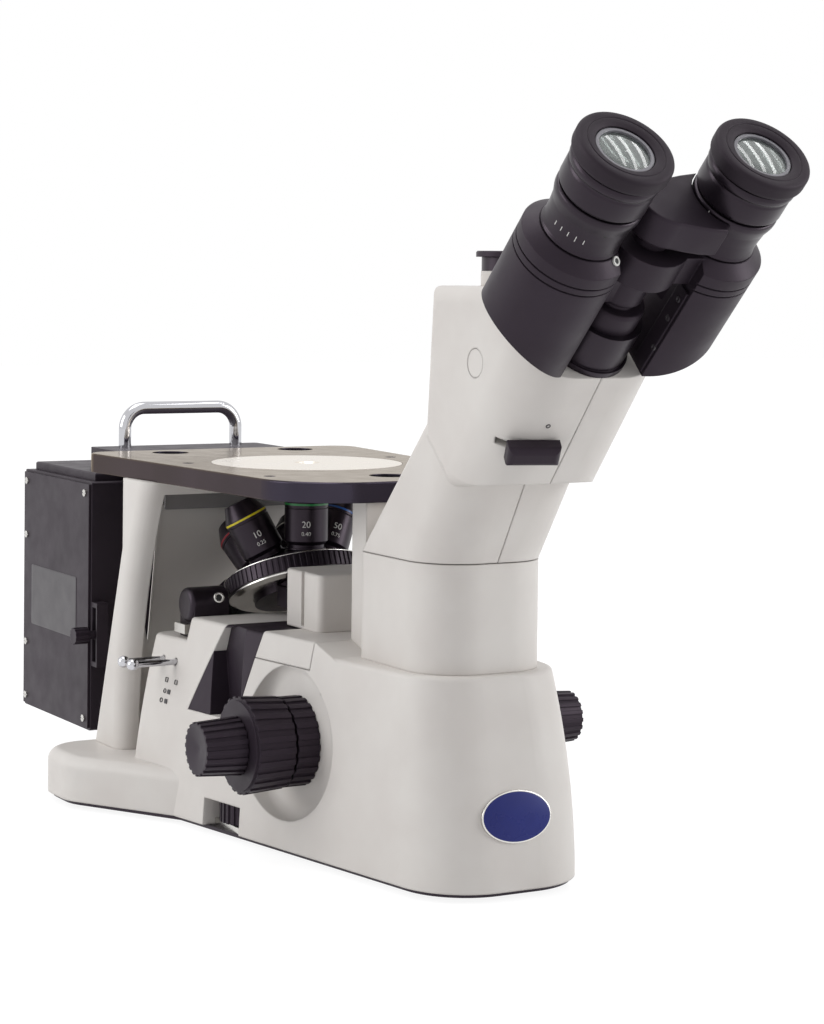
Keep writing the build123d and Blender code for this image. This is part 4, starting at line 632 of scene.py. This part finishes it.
badge_place = frame_at((-0.3, -233.6, 41.0), (0.0, -0.985, 0.171))
oval_angles = np.linspace(0, 2 * np.pi, 73)[:-1]
oval = np.stack([np.cos(oval_angles), np.sin(oval_angles)], axis=-1)
plate_piece("badge_frame", oval * (20.3, 13.1), -1.2, 0.75, 0.4, badge_place, turned_aluminium, "stand")
plate_piece("badge_enamel", oval * (19.6, 12.4), 0.2, 0.95, 0.35, badge_place, plate_blue, "stand",
            0.9)
label_place = frame_at((-80.0, 190.0, 103.0), (-1, 0, 0), (0, -1, 0))
plate_piece("lamp_label", box_outline(75.0, 38.0, 1.2), -0.4, 0.25, 0.1, label_place, plate_dark, "stand")
# The cross plate is painted shade: a darker copy of the castings' paint where the stage shades the pocket.
shade_plate_place = frame_at((0.0, 61.0, 178.0), (0, -1, 0), (1, 0, 0))
plate_piece("painted_shade_cross_plate", box_outline(124.0, 14.0, 1.0), -0.6, 0.6, 0.3, shade_plate_place, painted_shade_grey,
            "stand")
print("plates made: oval frame and enamel, lamp panel, cross wall")

# %% [markdown]
# Screen-printed marks are raised a few hundredths of a millimetre: plain squares and rings beside
# the rods, and a thin line between a nought and a one over the slider.

# %% Printed marks
def printed_box(name, width, height, radius, place):
    """A thin rounded rectangle of grey ink."""
    plate_piece(name, box_outline(width, height, radius), -0.4, 0.06, 0.02, place, screen_grey, "stand")


def printed_ring(name, r_in, r_out, place, segments):
    """A thin ring of grey ink."""
    turned_piece(name, sleeve(r_in, r_out, -0.4, 0.06, 0.02), place, screen_grey, "stand",
                 segments)


rod_marks_place = frame_at((-78.25, 15.2, 71.8), (-0.974, -0.139, 0.178), (0, -1, 0))
rod_marks = [(-5.6, 6.0, "frame"), (4.2, 6.0, "frame"), (-5.6, -0.4, "ring"), (-1.4, -0.4, "solid"),
             (-7.7, -6.0, "ring"), (-2.8, -6.0, "solid")]
frame_bars = [(0, 1.2, 2.6, 0.3), (0, -1.2, 2.6, 0.3), (-1.15, 0, 0.3, 2.1), (1.15, 0, 0.3, 2.1)]
for index, (u, v, kind) in enumerate(rod_marks):
    place = rod_marks_place @ lifted(u, v, 0)
    name = "rod_mark_%d" % index
    if kind == "ring":
        printed_ring(name, 1.0, 1.35, place, 32)
    elif kind == "solid":
        printed_box(name, 2.6, 2.6, 0.2, place)
    else:
        for side, (x, y, width, height) in enumerate(frame_bars):
            printed_box("%s_%d" % (name, side), width, height, 0.08, place @ lifted(x, y, 0))
slider_marks_place = frame_at((-9.0, -284.1, 239.5), (0.0, -0.772, -0.635))
printed_box("slider_line", 9.0, 0.5, 0.15, slider_marks_place)
printed_box("slider_one", 0.55, 2.4, 0.15, slider_marks_place @ lifted(8.0, 0.4, 0))
printed_ring("slider_nought", 0.7, 1.25, slider_marks_place @ lifted(-8.0, 0.4, 0), 24)
print("printed marks beside the rods:", len(rod_marks))

# %% [markdown]
# The studio is a pale floor and a world. Both look pure white to the camera, in mirrors and
# through glass, but light the object at their own plain level, so the floor keeps a soft shadow
# and pale surfaces don't clip.

# %% Floor and world
floor_half_size = 6.0
floor_white, floor_share = 1.22, 0.72
world_tint, world_level = (0.97, 0.97, 1.0, 1), 0.49
pure_white = (1, 1, 1, 1)
floor_grey = (0.86, 0.86, 0.86, 1)


def plainly_seen(tree):
    """1 for camera, glossy and transmission rays, 0 for light that falls on a surface."""
    path = add(tree, "LightPath").outputs
    seen = add(tree, "Math", links={0: path["Is Camera Ray"], 1: path["Is Glossy Ray"]}, operation="MAXIMUM")
    through = {0: seen.outputs[0], 1: path["Is Transmission Ray"]}
    return add(tree, "Math", links=through, operation="MAXIMUM").outputs[0]


floor_finish, tree, coords = new_finish("studio_floor")
floor_paint = add(tree, "BsdfPrincipled", {"Base Color": floor_grey, "Roughness": 0.22, "IOR": 1.35})
floor_glow = add(tree, "Emission", {"Color": pure_white, "Strength": floor_white})
share = add(tree, "Math", {1: floor_share}, {0: plainly_seen(tree)}, operation="MULTIPLY")
ends = {1: floor_paint.outputs[0], 2: floor_glow.outputs[0]}
mix = add(tree, "MixShader", links={"Fac": share.outputs[0], **ends})
add(tree, "OutputMaterial", links={"Surface": mix.outputs[0]})
floor_mesh = bpy.data.meshes.new("studio_floor")
floor_signs = [(-1, -1), (1, -1), (1, 1), (-1, 1)]
floor_corners = [(x * floor_half_size, y * floor_half_size, 0) for x, y in floor_signs]
floor_mesh.from_pydata(floor_corners, [], [(0, 1, 2, 3)])
floor = bpy.data.objects.new("studio_floor", floor_mesh)
floor.data.materials.append(floor_finish)
bpy.context.scene.collection.objects.link(floor)

world = bpy.data.worlds.new("studio_world")
world.use_nodes = True
bpy.context.scene.world = world
tree = world.node_tree
tree.nodes.clear()
lit = add(tree, "Background", {"Color": world_tint, "Strength": world_level})
shown = add(tree, "Background", {"Color": pure_white, "Strength": 1.0})
mix = add(tree, "MixShader", links={"Fac": plainly_seen(tree), 1: lit.outputs[0], 2: shown.outputs[0]})
add(tree, "OutputWorld", links={"Surface": mix.outputs[0]})
print("floor", 2 * floor_half_size, "m wide, world level", world_level)

# %% [markdown]
# Three broad soft lamps model the form: one on the left, a stronger one in front on the right, and
# one above. Three narrow strips high on the right give the eye lenses their window bars.

# %% Lamps
def soft_lamp(name, place, target, size_x, size_y, watts):
    """A rectangular area lamp at a place, turned to face a target."""
    data = bpy.data.lights.new(name, "AREA")
    data.shape, data.size, data.size_y, data.energy = "RECTANGLE", size_x, size_y, watts
    lamp = bpy.data.objects.new(name, data)
    z = np.array(place, float) - np.array(target, float)
    z = z / np.linalg.norm(z)
    x = np.cross([0, 0, 1.0], z)
    x = x / np.linalg.norm(x)
    m = np.eye(4)
    m[:3, 0], m[:3, 1], m[:3, 2], m[:3, 3] = x, np.cross(z, x), z, place
    lamp.matrix_world = mathutils.Matrix(m.tolist())
    bpy.context.scene.collection.objects.link(lamp)


middle = (0, -0.05, 0.18)
soft_lamp("left_lamp", (-2.0, 0.5, 1.0), middle, 1.2, 1.4, 20)
soft_lamp("right_lamp", (1.7, -1.3, 0.9), middle, 1.0, 1.3, 19)
soft_lamp("top_lamp", (-0.2, 0.2, 1.9), middle, 1.2, 1.2, 10)
eyes = (0.0, -0.35, 0.35)
for index, shift in enumerate((-0.16, 0.0, 0.16)):
    strip_place = (0.85 - 0.82 * shift, -0.33, 1.57 + 0.57 * shift)
    soft_lamp("window_strip_%d" % index, strip_place, eyes, 0.7, 0.05, 0.35)
print("lamps:", len(bpy.data.lights))
